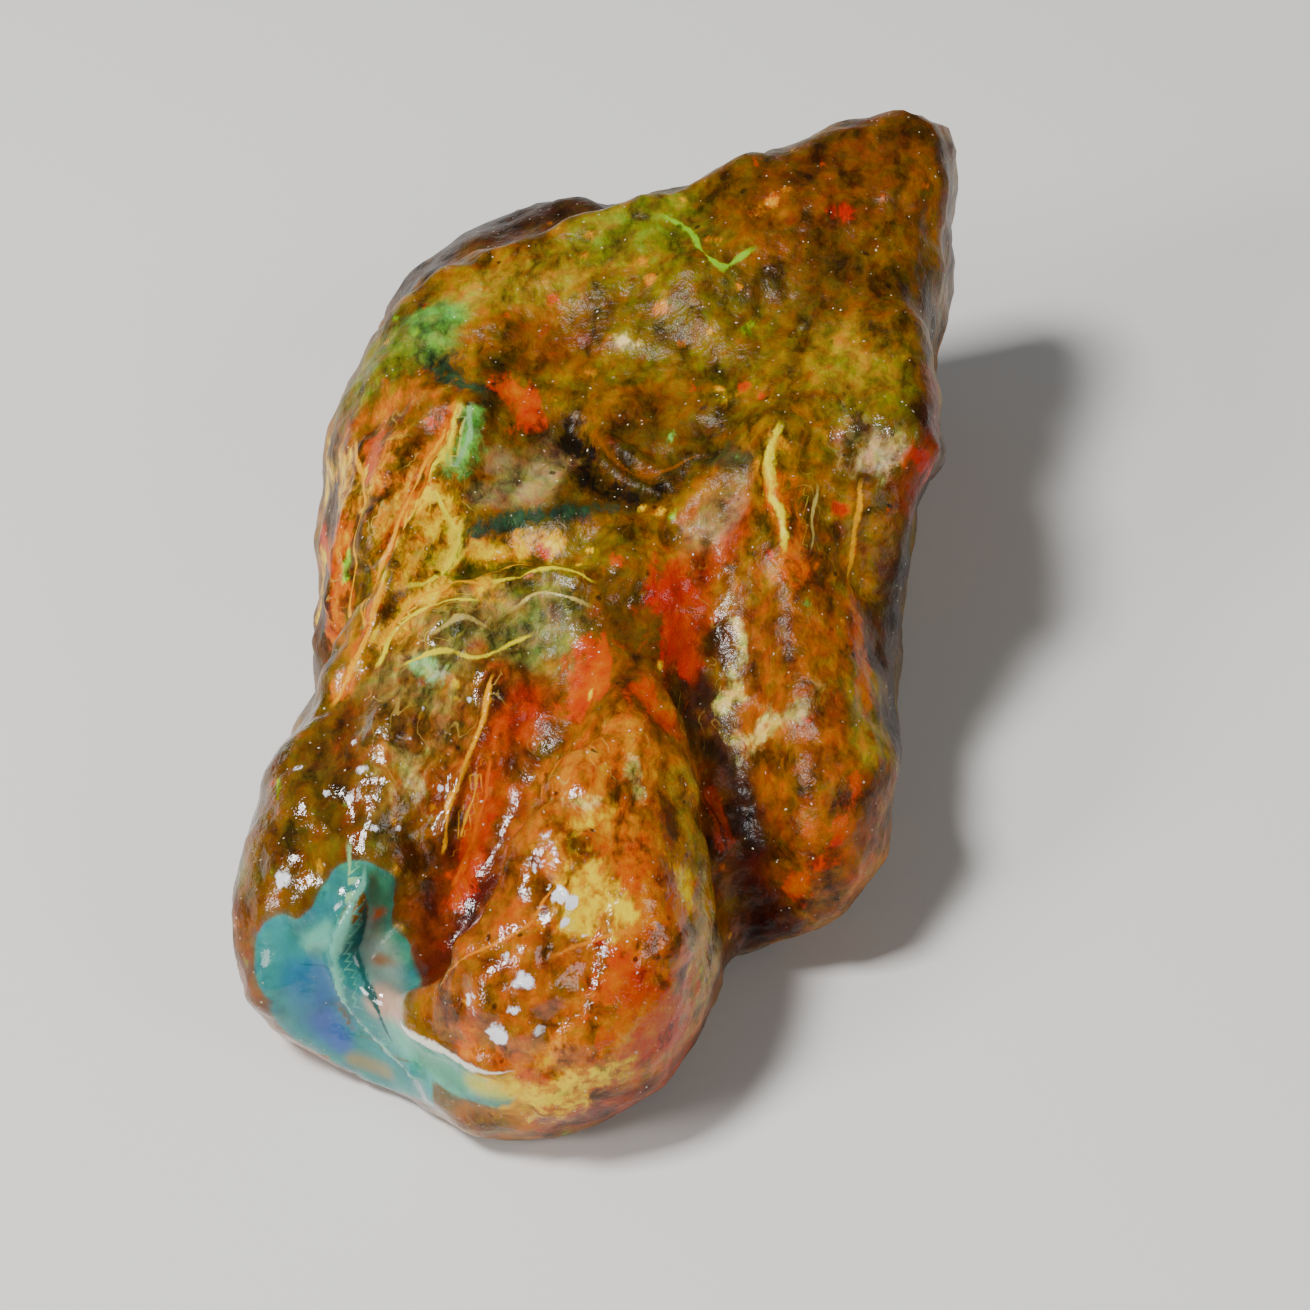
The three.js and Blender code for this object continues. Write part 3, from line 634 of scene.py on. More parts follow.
def box_skin(cells):
    """The grid points on a box's surface, as whole numbers, and its cells as four-sided faces.

    Each of the six sides is a grid in two of the three axes. Points that two sides share are one.
    """
    sides = []
    for axis in range(3):
        across, up = (axis + 1) % 3, (axis + 2) % 3
        u, v = np.meshgrid(np.arange(cells[across] + 1), np.arange(cells[up] + 1), indexing="ij")
        for level in (0, cells[axis]):
            side = np.empty(u.shape + (3,), int)
            side[..., axis], side[..., across], side[..., up] = level, u, v
            sides.append(side if level else side.transpose(1, 0, 2))
    flat = np.concatenate([side.reshape(-1, 3) for side in sides])
    places, numbers = np.unique(flat, axis=0, return_inverse=True)
    numbers = numbers.reshape(-1)
    quads, start = [], 0
    for side in sides:
        grid = numbers[start:start + side.shape[0] * side.shape[1]].reshape(side.shape[:2])
        start += grid.size
        corners = (grid[:-1, :-1], grid[1:, :-1], grid[1:, 1:], grid[:-1, 1:])
        quads.append(np.stack(corners, -1).reshape(-1, 4))
    return places, np.concatenate(quads)


def relaxed(points, outward, quads):
    """Each point slid along the surface, part of the way to the middle of its neighbours."""
    starts = quads.reshape(-1)
    ends = np.roll(quads, -1, axis=1).reshape(-1)
    starts, ends = np.concatenate([starts, ends]), np.concatenate([ends, starts])
    count = np.bincount(starts, minlength=len(points))
    middles = np.stack([np.bincount(starts, points[ends, i], len(points)) for i in range(3)], 1)
    slide = middles / count[:, None] - points
    slide -= outward * (slide * outward).sum(1)[:, None]
    return points + RELAX_SHARE * slide


def coarse_skin():
    """The coarse skin: each grid point's direction on a sphere gives a place on the disc and a way
    out of it, and the point is the first of the stone met on the way in."""
    places, quads = box_skin(COARSE_CELLS)
    direction = np.tan((places / np.array(COARSE_CELLS) * 2 - 1) * np.pi / 4)
    direction /= np.linalg.norm(direction, axis=1)[:, None]
    along = direction[:, 1] * DISC_HALF[1]
    on_disc = np.stack([direction[:, 0] * DISC_HALF[0] + along * DISC_LEAN, along, 0 * along], 1)
    way_out = direction * np.array([UPRIGHT, UPRIGHT, 1.0])
    way_out /= np.linalg.norm(way_out, axis=1)[:, None]
    points = on_disc + np.array(DISC_AT) + way_out * OUTSIDE
    for _ in range(MOST_STEPS):
        points -= way_out * (np.maximum(distance_to_stone(points), 0) * STEP_SHARE)[:, None]
    for _ in range(COARSE_RELAXES):
        points, outward = draw_onto(points)
        points = relaxed(points, outward, quads)
    return places, points


def split_skin(places, points):
    """The fine skin: between the four corners of a coarse cell, each new point is their mean,
    weighted by how near it is along both sides, and is then drawn onto the stone."""
    cells = tuple(n * SPLIT for n in COARSE_CELLS)
    fine_places, quads = box_skin(cells)
    number = np.full(tuple(n + 1 for n in COARSE_CELLS), -1)
    number[tuple(places.T)] = np.arange(len(places))
    lower = np.minimum(fine_places // SPLIT, np.array(COARSE_CELLS) - 1)
    share = fine_places / SPLIT - lower
    fine = np.zeros((len(fine_places), 3))
    for corner in np.ndindex(2, 2, 2):
        weight = np.prod(np.where(corner, share, 1 - share), axis=1)
        used = weight > 0
        fine[used] += weight[used, None] * points[number[tuple((lower + corner)[used].T)]]
    for _ in range(FINE_RELAXES):
        fine, outward = draw_onto(fine)
        fine = relaxed(fine, outward, quads)
    fine, outward = draw_onto(fine)
    fine, outward = draw_onto(fine)
    return fine, outward, quads


def scatter(cell, seed):
    """A fixed number from 0 to 1 for each whole-number cell, by multiplying and folding its bits."""
    x, y, z = (cell[..., i].astype(np.uint64) for i in range(3))
    bits = x * np.uint64(73856093) ^ y * np.uint64(19349663) ^ z * np.uint64(83492791)
    bits ^= np.uint64(seed * 2654435761 % 4294967296)
    bits = (bits ^ (bits >> np.uint64(13))) * np.uint64(1274126177)
    bits = (bits ^ (bits >> np.uint64(15))) * np.uint64(2246822519)
    return ((bits >> np.uint64(11)) & np.uint64(65535)).astype(float) / 65535


def noise(points, apart, seed):
    """Smooth noise from -1 to 1: fixed numbers at the corners of cells, blended in between."""
    spot = points / apart + 1000
    cell = np.floor(spot).astype(int)
    share = spot - cell
    share = share * share * (3 - 2 * share)
    total = np.zeros(len(points))
    for corner in np.ndindex(2, 2, 2):
        weight = np.prod(np.where(corner, share, 1 - share), axis=1)
        total += weight * scatter(cell + corner, seed)
    return total * 2 - 1


def layered(points, apart, seed, layers=3):
    """Layers of noise, each half as wide and half as strong as the one before."""
    return sum(noise(points, apart / 2 ** i, seed + i) / 2 ** i for i in range(layers)) / 1.6


def grains(points, apart, seed):
    """The distance to the nearest of scattered seeds, in spacings, and that seed's own number."""
    spot = points / apart + 1000
    cell = np.floor(spot).astype(int)
    least = np.full(len(points), np.inf)
    own = np.zeros(len(points))
    for step in np.ndindex(3, 3, 3):
        other = cell + np.array(step) - 1
        centre = other + np.stack([scatter(other, seed + i) for i in range(3)], 1)
        away = ((spot - centre) ** 2).sum(1)
        closer = away < least
        least[closer] = away[closer]
        own[closer] = scatter(other[closer], seed + 7)
    return np.sqrt(least), own


def within(points, areas):
    """How much each point is in a list of soft oval areas, from 0 to 1."""
    most = np.zeros(len(points))
    for at, half, strength in areas.values():
        away = ((points - np.array(at)) / np.array(half)) ** 2
        most = np.maximum(most, strength * np.exp(-1.5 * away.sum(1) ** 2))
    return most


def fine_detail(points):
    """How far the skin stands out at each point, in millimetres.

    The fine folds, plus layered noise, plus ridges where stretched noise crosses zero, plus domes
    round scattered seeds, less small pits. Each kind is kept to its own areas.
    """
    smooth = 1 - within(points, SMOOTH)
    wrinkled = 0.25 + 0.75 * within(points, WRINKLED)
    beaded = within(points, BEADED)
    warp = np.stack([noise(points, 2.4, 31 + i) for i in range(3)], 1)
    along = (points + 0.8 * warp) * np.array([1.0, 0.45, 1.0])
    ridges = 1 - 2.2 * np.abs(layered(along, RIDGE_APART, 41, 2))
    away, _ = grains(points + 0.25 * warp, BEAD_APART, 51)
    domes = np.maximum(1 - (away / BEAD_RADIUS) ** 2, 0)
    pit_away, pit_own = grains(points, PIT_APART, 61)
    pits = np.maximum(1 - (pit_away / PIT_RADIUS) ** 2, 0) * (pit_own > 1 - PIT_SHARE)
    return (
        raised(points, FINE_FOLDS)
        + smooth * SWELL_HEIGHT * layered(points, SWELL_APART, 71)
        + smooth * wrinkled * RIDGE_HEIGHT * np.maximum(ridges, -0.6)
        + beaded * BEAD_HEIGHT * domes
        + smooth * CREASE_HEIGHT * (1 - 2.5 * np.abs(layered(points + 0.3 * warp, CREASE_APART, 91, 2)))
        + smooth * GRAIN_HEIGHT * layered(points, GRAIN_APART, 81, 2)
        - smooth * PIT_DEPTH * pits
    )


def rounded(path):
    """A path with its corners cut off twice, a quarter of the way along each side."""
    path = np.array(path, float)
    for _ in range(2):
        if len(path) < 3:
            break
        first = path[:-1] * 0.75 + path[1:] * 0.25
        second = path[:-1] * 0.25 + path[1:] * 0.75
        inner = np.stack([first, second], 1).reshape(-1, 3)
        path = np.concatenate([path[:1], inner, path[-1:]])
    return path


def away_from(points, places, wide, warp=None, bend=0):
    """The numbers of the points near some places, and their distances from them in half widths,
    each point being moved by its warp times the bend."""
    near = near_path(points, places, 2.5 * wide + 0.5)
    moved = points[near] + bend * warp[near] if bend else points[near]
    return near, distance_to_path(moved, places) / wide


def painted(points, colour, zones, palette, warp, frayed):
    """The colours with the zones painted over them in order. A zone's share falls with the fourth
    power of the distance to its places, over a ragged width."""
    for name, wide, strength, *places in zones.values():
        near, away = away_from(points, places, wide, warp, min(0.45, 0.5 * wide))
        share = strength * np.exp(-0.7 * (away * frayed[near]) ** 4)[:, None]
        colour[near] += share * (palette[name] - colour[near])
    return colour


def by_colour(table):
    """The entries of a table that is grouped by colour, each after the name of its colour."""
    return [(name, *entry) for name, entries in table.items() for entry in entries]


def lay_over(patch, near, high, colour):
    """Gives the patch's height and colour to each point where no other patch is as high."""
    over = high > patch[near, 3]
    patch[near[over], 3] = high[over]
    patch[near[over], :3] = np.broadcast_to(colour, (len(near), 3))[over]


def stone_colours(points, palette):
    """The colour of each point, mottled browns under the zones, the patches that lie over it, and
    the height of the broken face.

    A patch is a colour and a height: one on its middle line, a half at its edge and none at twice
    its half width. Where patches overlap, the highest is kept. The material cuts the broken face out
    at a half, and lets the others glow up softly with their height.
    """
    warp = np.stack([noise(points, WARP_APART, 131 + i) for i in range(3)], 1)
    broad = layered(points + 0.45 * warp, BROWNS_APART, 101)[:, None]
    colour = palette["honey"] + np.clip(broad * 1.2 + 0.3, 0, 1) * (palette["olive"] - palette["honey"])
    dark = np.clip(layered(points + 0.45 * warp, DARKS_APART, 111) * 1.5, 0, 1)[:, None]
    colour = colour + 0.8 * dark * (palette["chocolate"] - colour)
    frayed = 1 + 0.6 * layered(points, FRAY_APART, 121)
    colour = painted(points, colour, ZONES, palette, warp, frayed)

    patch = np.zeros((len(points), 4))
    areas = by_colour(PATCHES)
    areas += [(name, FLECK_WIDTH * wide, at) for name, *at, wide in by_colour(FLECKS)]
    for name, wide, *places in areas:
        near, away = away_from(points, places, wide, warp, min(0.4, 0.45 * wide))
        lay_over(patch, near, 1 - 0.5 * away, palette[name])
    high, kind = flashes(points)
    lay_over(patch, np.arange(len(points)), high, np.stack([palette[name] for name in FLASH_COLOURS])[kind])

    scoop = np.zeros(len(points))
    for _, wide, _, *places in SCOOP.values():
        near, away = away_from(points, places, wide, warp, 0.2)
        scoop[near] = np.maximum(scoop[near], 1 - 0.5 * away)
    broken = np.tile(palette["teal"], (len(points), 1))
    broken = painted(points, broken, {**SCOOP, **SCOOP_COLOURS}, palette, 0.5 * warp, np.ones(len(points)))
    over = (scoop > patch[:, 3]) | (scoop > 0.55)
    patch[over, 3] = scoop[over]
    patch[over, :3] = broken[over]
    return colour, patch, scoop


def fine_lines(points, outward, palette):
    """For each point, the colour of the line that it is nearest to and its share, and how far the
    point is to the line's side, in half widths.

    Along the skin, the side is the skin's slope crossed with the line's run. The share is one on
    the line and falls to none within four half widths of it, at its ends too.
    """
    colour = np.zeros((len(points), 4), np.float32)
    side = np.full(len(points), 6.0)
    least = np.full(len(points), np.inf)
    wobble = 0.12 * np.stack([noise(points, 0.9, 191 + i) for i in range(3)], 1)
    thickness = np.clip(0.8 + 0.9 * layered(points, 1.4, 201, 2), 0.15, 1.5)
    for name, wide, *path in by_colour(LINES):
        path = rounded(path)
        near = near_path(points, path, 1.5)
        spots, up, half = points[near] + wobble[near], outward[near], wide * thickness[near]
        for start, end in zip(path, path[1:]):
            run = end - start
            length = np.sqrt(run @ run)
            away = spots - start
            deep = np.abs((away * up).sum(1)) < 1.2
            along = np.clip(away @ run / length, 0, length)
            away -= (along / length)[:, None] * run
            away -= (away * up).sum(1)[:, None] * up
            far = np.sqrt((away * away).sum(1)) / half
            pick = deep & (far < least[near])
            closer = near[pick]
            least[closer] = far[pick]
            side[closer] = (np.cross(up[pick], run / length) * away[pick]).sum(1) / half[pick]
            colour[closer, :3] = palette[name]
    colour[:, 3] = np.clip(1.7 - least / 3, 0, 1)
    return colour, side


def glints(points):
    """How high each point is on a painted glint, a painted highlight: one at its middle, a half at its
    edge, and none further out.
    """
    high = np.zeros(len(points))
    for *at, wide in PAINTED_GLINTS:
        near, away = away_from(points, [at], wide)
        high[near] = np.maximum(high[near], 1 - 0.5 * away)
    return high


def flashes(points):
    """Scattered flashes as patches: their height at each point, and which flash colour they have.

    Stretched grains of under a millimetre each have a fixed number: only the highest ones flash.
    """
    warp = np.stack([noise(points, 0.9, 151 + i) for i in range(3)], 1)
    stretched = (points + 0.3 * warp) * np.array([1.15, 0.65, 1.15])
    away, own = grains(stretched, FLASH_SPACING, 161)
    crowd = layered(points, 3.5, 171)
    high = np.where(own + 0.1 * crowd > 1 - FLASH_SHARE, 0.85 - 0.5 * away / FLASH_RADIUS, 0)
    return np.clip(high, 0, 1), ((own * 997) % 1 * len(FLASH_COLOURS)).astype(int)


def new_mesh_object(name, points, faces):
    """A mesh object at the origin from points in metres and four-sided faces."""
    mesh = bpy.data.meshes.new(name)
    mesh.vertices.add(len(points))
    mesh.vertices.foreach_set("co", points.astype(np.float32).ravel())
    mesh.loops.add(faces.size)
    mesh.loops.foreach_set("vertex_index", faces.astype(np.int32).ravel())
    mesh.polygons.add(len(faces))
    mesh.polygons.foreach_set("loop_start", np.arange(0, faces.size, 4, dtype=np.int32))
    mesh.update(calc_edges=True)
    mesh.validate()
    mesh.shade_smooth()
    piece = bpy.data.objects.new(name, mesh)
    bpy.context.scene.collection.objects.link(piece)
    return piece


def add_node(tree, kind, inputs, **properties):
    """Adds a node, sets its properties, and sets each of its inputs or links it to an output."""
    node = tree.nodes.new(kind)
    for name, value in properties.items():
        setattr(node, name, value)
    for name, value in inputs.items():
        if isinstance(value, bpy.types.NodeSocket):
            tree.links.new(value, node.inputs[name])
        else:
            node.inputs[name].default_value = value
    return node


def read(tree, attribute):
    """The outputs of one of the mesh's attributes: its colour, vector, number and alpha."""
    return add_node(tree, "ShaderNodeAttribute", {}, attribute_name=attribute).outputs


def number(tree, operation, *values):
    """The result of a sum with numbers."""
    return add_node(tree, "ShaderNodeMath", dict(enumerate(values)), operation=operation).outputs[0]


def vector(tree, operation, *values, **named):
    """The result of a sum with vectors, or with a vector and a Scale."""
    inputs = {**dict(enumerate(values)), **named}
    return add_node(tree, "ShaderNodeVectorMath", inputs, operation=operation).outputs[0]


def ramp(tree, value, start, end, low=0.0, high=1.0):
    """A number that goes from low to high as the value goes from start to end."""
    return add_node(tree, "ShaderNodeMapRange", dict(enumerate((value, start, end, low, high)))).outputs[0]


def mix(tree, share, first, second):
    """The first number where the share is none, and the second where it is one."""
    return add_node(tree, "ShaderNodeMix", {0: share, 2: first, 3: second}).outputs[0]


def mix_colour(tree, share, first, second):
    """The first colour where the share is none, and the second, also as a hex, where it is one."""
    if isinstance(second, str):
        second = (*linear(second), 1.0)
    return add_node(tree, "ShaderNodeMix", {0: share, 6: first, 7: second}, data_type="RGBA").outputs[2]


def cloudy(tree, place, pattern, detail, roughness=0.5):
    """Noise at the spacing of a named pattern: a number and a colour."""
    scale = 1 / (APART[pattern] * MM)
    inputs = {"Vector": place, "Scale": scale, "Detail": detail, "Roughness": roughness}
    return add_node(tree, "ShaderNodeTexNoise", inputs).outputs


def opal_material(settings):
    """Precious opal, freshly broken and rinsed: hydrated silica glass, translucent like honey, with
    a resinous to glassy surface. Light sinks into it and comes back warm, so it has scattering
    under a clear gloss. Its pale dots are painted sparkles: painted highlights of tiny fracture faces.
    Its dark dots are painted shade of tiny pits, and its glints are painted highlights too."""
    material = bpy.data.materials.new("precious opal, natural skin")
    material.use_nodes = True
    tree = material.node_tree
    tree.nodes.clear()
    place = add_node(tree, "ShaderNodeTexCoord", {}).outputs["Object"]
    finish_and_glints = read(tree, "finish_and_glints")
    gloss, calm, threaded = add_node(tree, "ShaderNodeSeparateColor", {0: finish_and_glints["Color"]}).outputs

    # Every pattern is bent by up to a quarter of a millimetre, so that none looks regular.
    bend = vector(tree, "SCALE", cloudy(tree, place, "bend", 2.0)["Color"], Scale=BEND * MM)
    bent = vector(tree, "ADD", place, bend)
    stretched = vector(tree, "MULTIPLY", bent, (1.0, 0.55, 1.0))
    streaky = vector(tree, "MULTIPLY", bent, (1.0, 0.4, 1.0))

    # The patches glow up out of the zones: sparse grains at their edge, close and hot in the middle.
    # The broken face has a sharp edge instead, and keeps its own colours.
    patch = read(tree, "patch")
    crumbs = number(tree, "SUBTRACT", cloudy(tree, streaky, "crumbs", 6.0, 0.7)["Fac"], 0.5)
    height = number(tree, "MULTIPLY_ADD", crumbs, ramp(tree, calm, 0.0, 0.5, 2.5, 0.1), patch["Alpha"])
    soft_edge = ramp(tree, height, 0.36, 0.86, 0.0, settings.patch_strength)
    is_broken = ramp(tree, calm, 0.42, 0.5)
    share = mix(tree, is_broken, soft_edge, ramp(tree, height, 0.46, 0.54))
    glow = mix(tree, is_broken, ramp(tree, height, 0.4, 1.3, 0.6, 1.6), 1.0)
    glowing = vector(tree, "SCALE", patch["Color"], Scale=glow)
    colour = mix_colour(tree, share, read(tree, "play_of_colour")["Color"], glowing)

    # Mottling: light and dark clouds from a millimetre across down to the finest grain.
    clouds = ramp(tree, cloudy(tree, stretched, "clouds", 6.0, 0.66)["Fac"], 0.36, 0.66, 0.26, 1.9)
    colour = vector(tree, "MULTIPLY", colour, mix(tree, calm, clouds, 1.0))

    # Fibres: streaks along the way the stone flows, in the threaded areas.
    turned = {"Vector": bent, "Rotation": (0.0, 0.0, FLOW_TURN)}
    flow = add_node(tree, "ShaderNodeMapping", turned, vector_type="TEXTURE").outputs["Vector"]
    flow = vector(tree, "MULTIPLY", flow, (1.0, 0.16, 1.0))
    fibres = ramp(tree, cloudy(tree, flow, "fibres", 3.0, 0.6)["Fac"], 0.36, 0.66, 0.45, 1.75)
    colour = vector(tree, "SCALE", colour, Scale=mix(tree, threaded, 1.0, fibres))

    # A drift in hue from half a millimetre to the next, redder here and greener there.
    drift = cloudy(tree, bent, "drift", 3.0)["Color"]
    drift = vector(tree, "MULTIPLY_ADD", drift, (1.3, 1.65, 1.6), (0.38, 0.16, 0.15))
    colour = vector(tree, "MULTIPLY", colour, mix_colour(tree, calm, drift, "#FFFFFF"))

    # Threads: thin pale lines where stretched noise crosses its middle value, in the threaded areas.
    off_line = number(tree, "SUBTRACT", cloudy(tree, stretched, "threads", 1.0)["Fac"], 0.5)
    on_line = ramp(tree, number(tree, "ABSOLUTE", off_line), 0.004, 0.014, 1.0, 0.0)
    breaks = ramp(tree, cloudy(tree, place, "breaks", 1.0)["Fac"], 0.48, 0.6, 0.0, 0.75)
    on_line = number(tree, "MULTIPLY", number(tree, "MULTIPLY", on_line, breaks), threaded)
    colour = mix_colour(tree, on_line, colour, settings.thread_colour_hex)

    # Green and blue are held under a share each, and red under one that grows with the green, so
    # that the bright fires stay deep in colour.
    red, green, blue = add_node(tree, "ShaderNodeSeparateColor", {0: colour}).outputs
    green = number(tree, "MINIMUM", green, MOST_GREEN)
    blue = number(tree, "MINIMUM", blue, MOST_BLUE)
    red = number(tree, "MINIMUM", red, number(tree, "MULTIPLY_ADD", green, RED_FOR_GREEN, MOST_RED))
    colour = add_node(tree, "ShaderNodeCombineColor", {0: red, 1: green, 2: blue}).outputs[0]

    # The painted lines: one where the distance to the line's side is under a half width.
    line = read(tree, "line")
    line_side = number(tree, "ABSOLUTE", read(tree, "line_side")["Fac"])
    line_side = number(tree, "MULTIPLY_ADD", crumbs, 4.0, line_side)
    line_share = number(tree, "MULTIPLY", ramp(tree, line_side, 0.4, 1.1, 0.95, 0.0), line["Alpha"])
    colour = mix_colour(tree, line_share, colour, line["Color"])

    # Glints: painted highlights, pale spots for small wet faces, with a slightly ragged edge.
    glint = number(tree, "MULTIPLY_ADD", crumbs, 1.2, finish_and_glints["Alpha"])
    colour = mix_colour(tree, ramp(tree, glint, 0.42, 0.56), colour, settings.painted_glint_colour_hex)

    # Pale sparkles under a tenth of a millimetre across, painted highlights, and dark specks a little
    # larger, painted shade of tiny pits.
    where_specks = ramp(tree, breaks, 0.0, 0.7, 0.3, 1.0)
    where_specks = number(tree, "MULTIPLY", where_specks, number(tree, "SUBTRACT", 1.0, calm))
    for pattern, edge, most, speck in (
        ("painted sparkles", 0.1, 1.0, settings.sparkle_colour_hex),
        ("dark specks", 0.14, 0.75, settings.pit_shade_colour_hex),
    ):
        seeds = {"Vector": bent, "Scale": 1 / (APART[pattern] * MM)}
        away = add_node(tree, "ShaderNodeTexVoronoi", seeds, label=pattern).outputs["Distance"]
        speck_share = number(tree, "MULTIPLY", ramp(tree, away, edge * 0.6, edge, most, 0.0), where_specks)
        colour = mix_colour(tree, speck_share, colour, speck)

    # A rippled, finely chipped skin, a third of a millimetre from ripple to ripple.
    ripples = cloudy(tree, place, "ripples", 3.0, 0.6)["Fac"]
    ripples = {"Height": ripples, "Strength": ramp(tree, calm, 0.0, 1.0, 0.5, 0.08)}
    bump = add_node(tree, "ShaderNodeBump", {**ripples, "Distance": BUMP_DEPTH * MM})
    wet = add_node(tree, "ShaderNodeBump", {**ripples, "Distance": WET_BUMP_DEPTH * MM})
    shader = add_node(
        tree, "ShaderNodeBsdfPrincipled",
        {
            "Base Color": colour,
            "Roughness": ramp(tree, gloss, 0.0, 1.0, 0.32, 0.07),
            "IOR": 1.45,
            "Specular IOR Level": 0.18,
            "Subsurface Weight": 0.12,
            "Subsurface Radius": (1.0, 0.42, 0.14),
            "Subsurface Scale": settings.glow_depth,
            "Transmission Weight": 0.1,
            "Coat Weight": number(tree, "MULTIPLY", gloss, settings.wetness),
            "Coat Roughness": 0.06,
            "Coat IOR": 1.45,
            "Normal": bump.outputs["Normal"],
            "Coat Normal": wet.outputs["Normal"],
        },
    )
    add_node(tree, "ShaderNodeOutputMaterial", {"Surface": shader.outputs["BSDF"]})
    return material


def plain_material(name, hex_colour, roughness):
    """A matt painted surface in one colour."""
    material = bpy.data.materials.new(name)
    material.use_nodes = True
    shader = material.node_tree.nodes["Principled BSDF"]
    shader.inputs["Base Color"].default_value = (*linear(hex_colour), 1.0)
    shader.inputs["Roughness"].default_value = roughness
    return material


def hex_property(name, description, default):
    return bpy.props.StringProperty(name=name, description=description, default=default, maxlen=7)


class OpalSettings(bpy.types.PropertyGroup):
    """What a user would change on the stone."""

    detail_share: bpy.props.FloatProperty(
        name="Fine detail", description="Share of the fine folds", default=1.0, min=0, subtype="FACTOR"
    )
    patch_strength: bpy.props.FloatProperty(
        name="Patches", description="Share of the bright patches", default=0.95, min=0, subtype="FACTOR"
    )
    depth: bpy.props.FloatProperty(
        name="Depth", description="Power that deepens every colour, 1 for none", default=1.1, min=0.5
    )
    wetness: bpy.props.FloatProperty(
        name="Wet look", description="Clear gloss over the glossy areas", default=1.0, min=0, subtype="FACTOR"
    )
    glow_depth: bpy.props.FloatProperty(
        name="Glow depth", description="How deep red light sinks in", default=0.7 * MM, unit="LENGTH"
    )
    # The colour of the painted glints, which are painted highlights.
    painted_glint_colour_hex: hex_property("Glints", "Colour of the painted glints", "#F6F4F8")
    # The colour of the painted sparkles, which are painted highlights.
    sparkle_colour_hex: hex_property("Specks", "Colour of the painted sparkles", "#F4E6C8")
    # The dark specks are painted shade of tiny pits.
    pit_shade_colour_hex: hex_property("Pits", "Colour of the dark specks", "#1E1208")
    thread_colour_hex: hex_property("Threads", "Colour of the fine threads", "#C9A848")


class StageSettings(bpy.types.PropertyGroup):
    """The camera and the floor."""

    camera_height: bpy.props.FloatProperty(
        name="View angle", description="How far it looks down", default=np.radians(45), subtype="ANGLE"
    )
    camera_distance: bpy.props.FloatProperty(
        name="Distance", description="From the camera to its target", default=115 * MM, unit="LENGTH"
    )
    focal_length: bpy.props.FloatProperty(
        name="Focal length", description="Of the lens", default=100.0, unit="CAMERA"
    )
    floor_width: bpy.props.FloatProperty(
        name="Floor", description="Width of the floor", default=1.2, unit="LENGTH"
    )
    floor_colour_hex: hex_property("Floor colour", "Colour of the floor", "#EFEDE9")


class OPAL_OT_grow_stone(bpy.types.Operator):
    """Makes the stone's skin, paints its colours and gives it its material"""

    bl_idname = "opal.grow_stone"
    bl_label = "Grow the opal"

    def execute(self, context):
        settings = context.scene.opal_settings
        places, points = coarse_skin()
        points, outward, quads = split_skin(places, points)
        off_floor = np.clip(points[:, 2] / DETAIL_STARTS, 0, 1) ** 2
        detail = fine_detail(points) * off_floor * settings.detail_share
        points = points + outward * detail[:, None]
        points[points[:, 2] < FLAT_BELOW, 2] = 0
        palette = {name: linear(value) ** settings.depth for name, value in PALETTE.items()}
        colours, patch, calm = stone_colours(points, palette)
        line, line_side = fine_lines(points, outward, palette)
        # The fourth channel holds the heights of the painted glints.
        finish_and_glints = np.stack([within(points, GLOSSY), calm, within(points, THREADED), glints(points)], 1)
        stone = new_mesh_object("opal_nugget", (points - np.array(FOOTPRINT_CENTRE)) * MM, quads)
        for name, values in (
            ("play_of_colour", colours), ("patch", patch), ("finish_and_glints", finish_and_glints), ("line", line)
        ):
            rgba = np.ones((len(points), 4), np.float32)
            rgba[:, :values.shape[1]] = values
            stone.data.attributes.new(name, "FLOAT_COLOR", "POINT").data.foreach_set("color", rgba.ravel())
        sides = stone.data.attributes.new("line_side", "FLOAT", "POINT")
        sides.data.foreach_set("value", line_side.astype(np.float32))
        stone.data.materials.append(opal_material(settings))
        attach(stone, "root")
        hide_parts("opal")
        return {"FINISHED"}


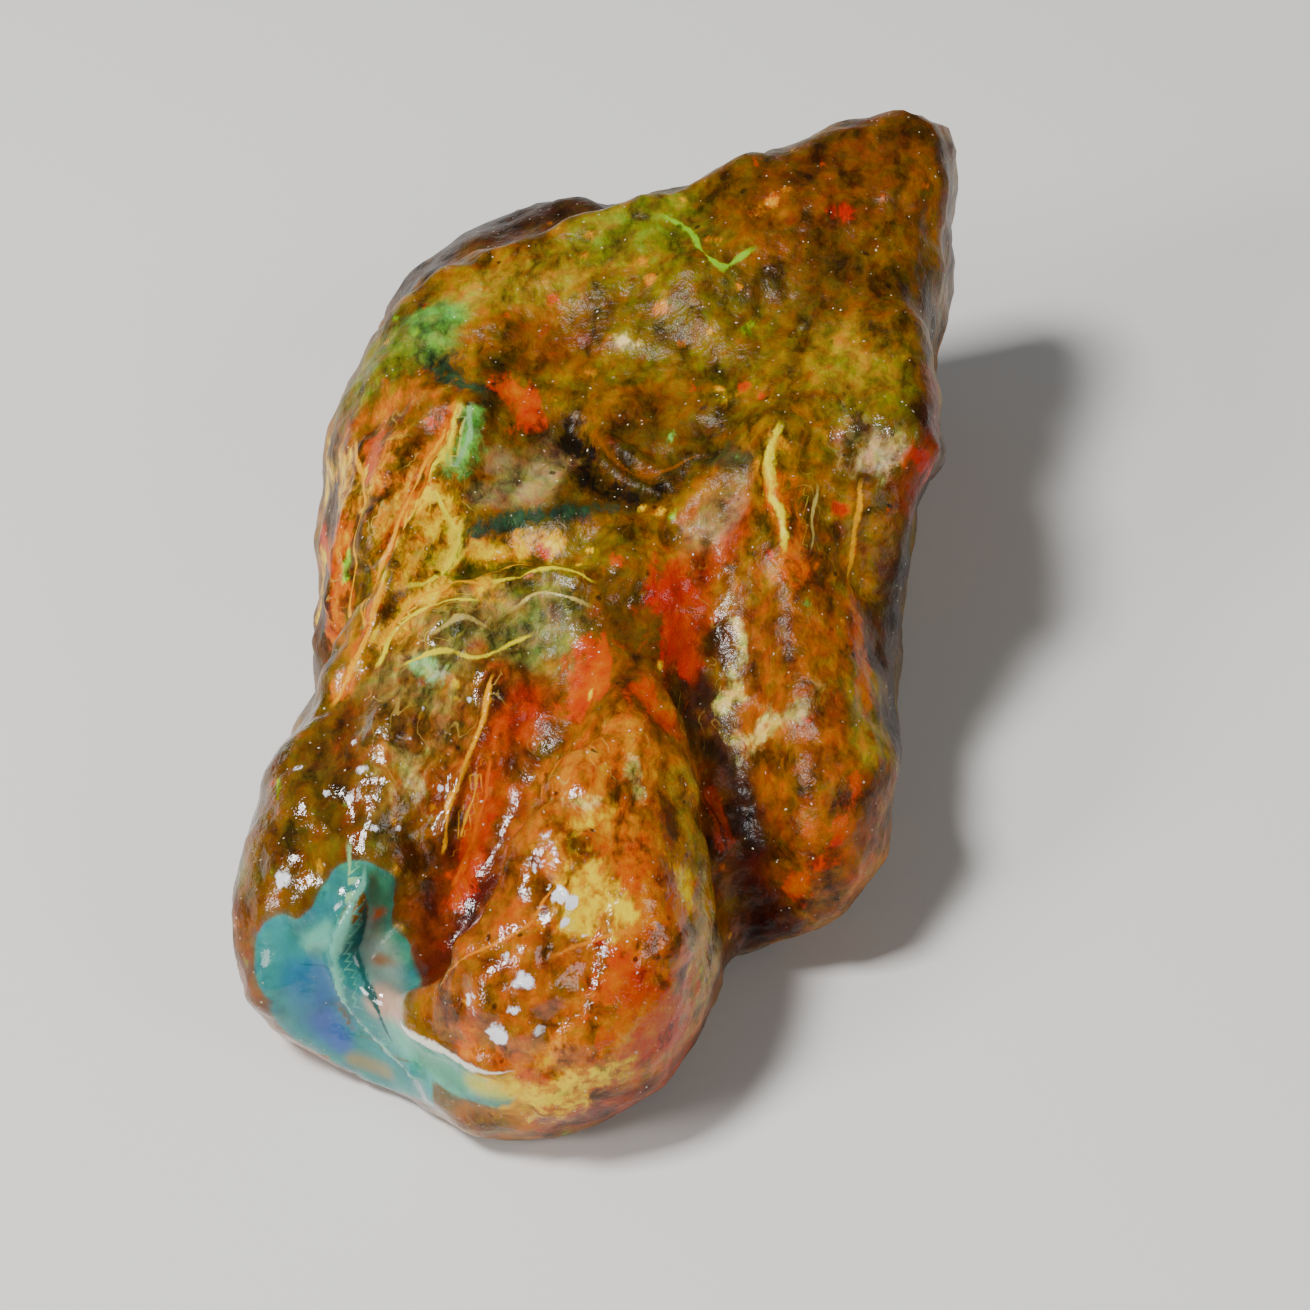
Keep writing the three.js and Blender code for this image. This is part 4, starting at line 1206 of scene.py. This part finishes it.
class OPAL_OT_set_stage(bpy.types.Operator):
    """Lays a plain pale floor and sets soft studio lights and the camera"""

    bl_idname = "opal.set_stage"
    bl_label = "Set the stage"

    def execute(self, context):
        settings = context.scene.opal_stage
        half = settings.floor_width / 2
        corners = np.array([(-half, -half, 0), (half, -half, 0), (half, half, 0), (-half, half, 0)])
        floor = new_mesh_object("floor", corners, np.array([[0, 1, 2, 3]]))
        floor.data.materials.append(plain_material("matt floor", settings.floor_colour_hex, FLOOR_ROUGHNESS))

        target = Vector(LOOKED_AT) * MM
        tilt = settings.camera_height
        look = Vector((0, np.cos(tilt), -np.sin(tilt)))
        camera = bpy.data.cameras.new("camera")
        camera.lens = settings.focal_length
        camera.sensor_width = 36
        camera.clip_start = 1 * MM
        self.place("camera", camera, target - look * settings.camera_distance, target)
        context.scene.camera = bpy.data.objects["camera"]

        for name, (at, width, power) in LIGHTS.items():
            light = bpy.data.lights.new(name, "AREA")
            light.shape = "SQUARE"
            light.size = width
            light.energy = power
            self.place(name, light, Vector(at), target)
        world = bpy.data.worlds.new("soft grey room")
        world.use_nodes = True
        background = world.node_tree.nodes["Background"].inputs
        background["Color"].default_value = ROOM_COLOUR
        background["Strength"].default_value = ROOM_LIGHT
        context.scene.world = world
        return {"FINISHED"}

    def place(self, name, data, at, target):
        """Stands a light or camera at a place, looking at a target."""
        thing = bpy.data.objects.new(name, data)
        thing.location = at
        thing.rotation_euler = (target - at).to_track_quat("-Z", "Y").to_euler()
        bpy.context.scene.collection.objects.link(thing)


class OPAL_PT_panel(bpy.types.Panel):
    """Shows the stone's settings and the stage's, and the buttons that make them"""

    bl_idname = "OPAL_PT_panel"
    bl_label = "Rough precious opal"
    bl_space_type = "VIEW_3D"
    bl_region_type = "UI"
    bl_category = "Opal"

    def draw(self, context):
        layout = self.layout
        for settings in (context.scene.opal_settings, context.scene.opal_stage):
            for name in settings.__annotations__:
                layout.prop(settings, name)
        layout.operator(OPAL_OT_grow_stone.bl_idname)
        layout.operator(OPAL_OT_set_stage.bl_idname)


CLASSES = (OpalSettings, StageSettings, OPAL_OT_grow_stone, OPAL_OT_set_stage, OPAL_PT_panel)


def register():
    for item in CLASSES:
        bpy.utils.register_class(item)
    bpy.types.Scene.opal_settings = bpy.props.PointerProperty(type=OpalSettings)
    bpy.types.Scene.opal_stage = bpy.props.PointerProperty(type=StageSettings)


def unregister():
    del bpy.types.Scene.opal_stage
    del bpy.types.Scene.opal_settings
    for item in reversed(CLASSES):
        bpy.utils.unregister_class(item)


def main():
    register()
    bpy.ops.opal.grow_stone()
    bpy.ops.opal.set_stage()


if __name__ == "__main__":
    main()
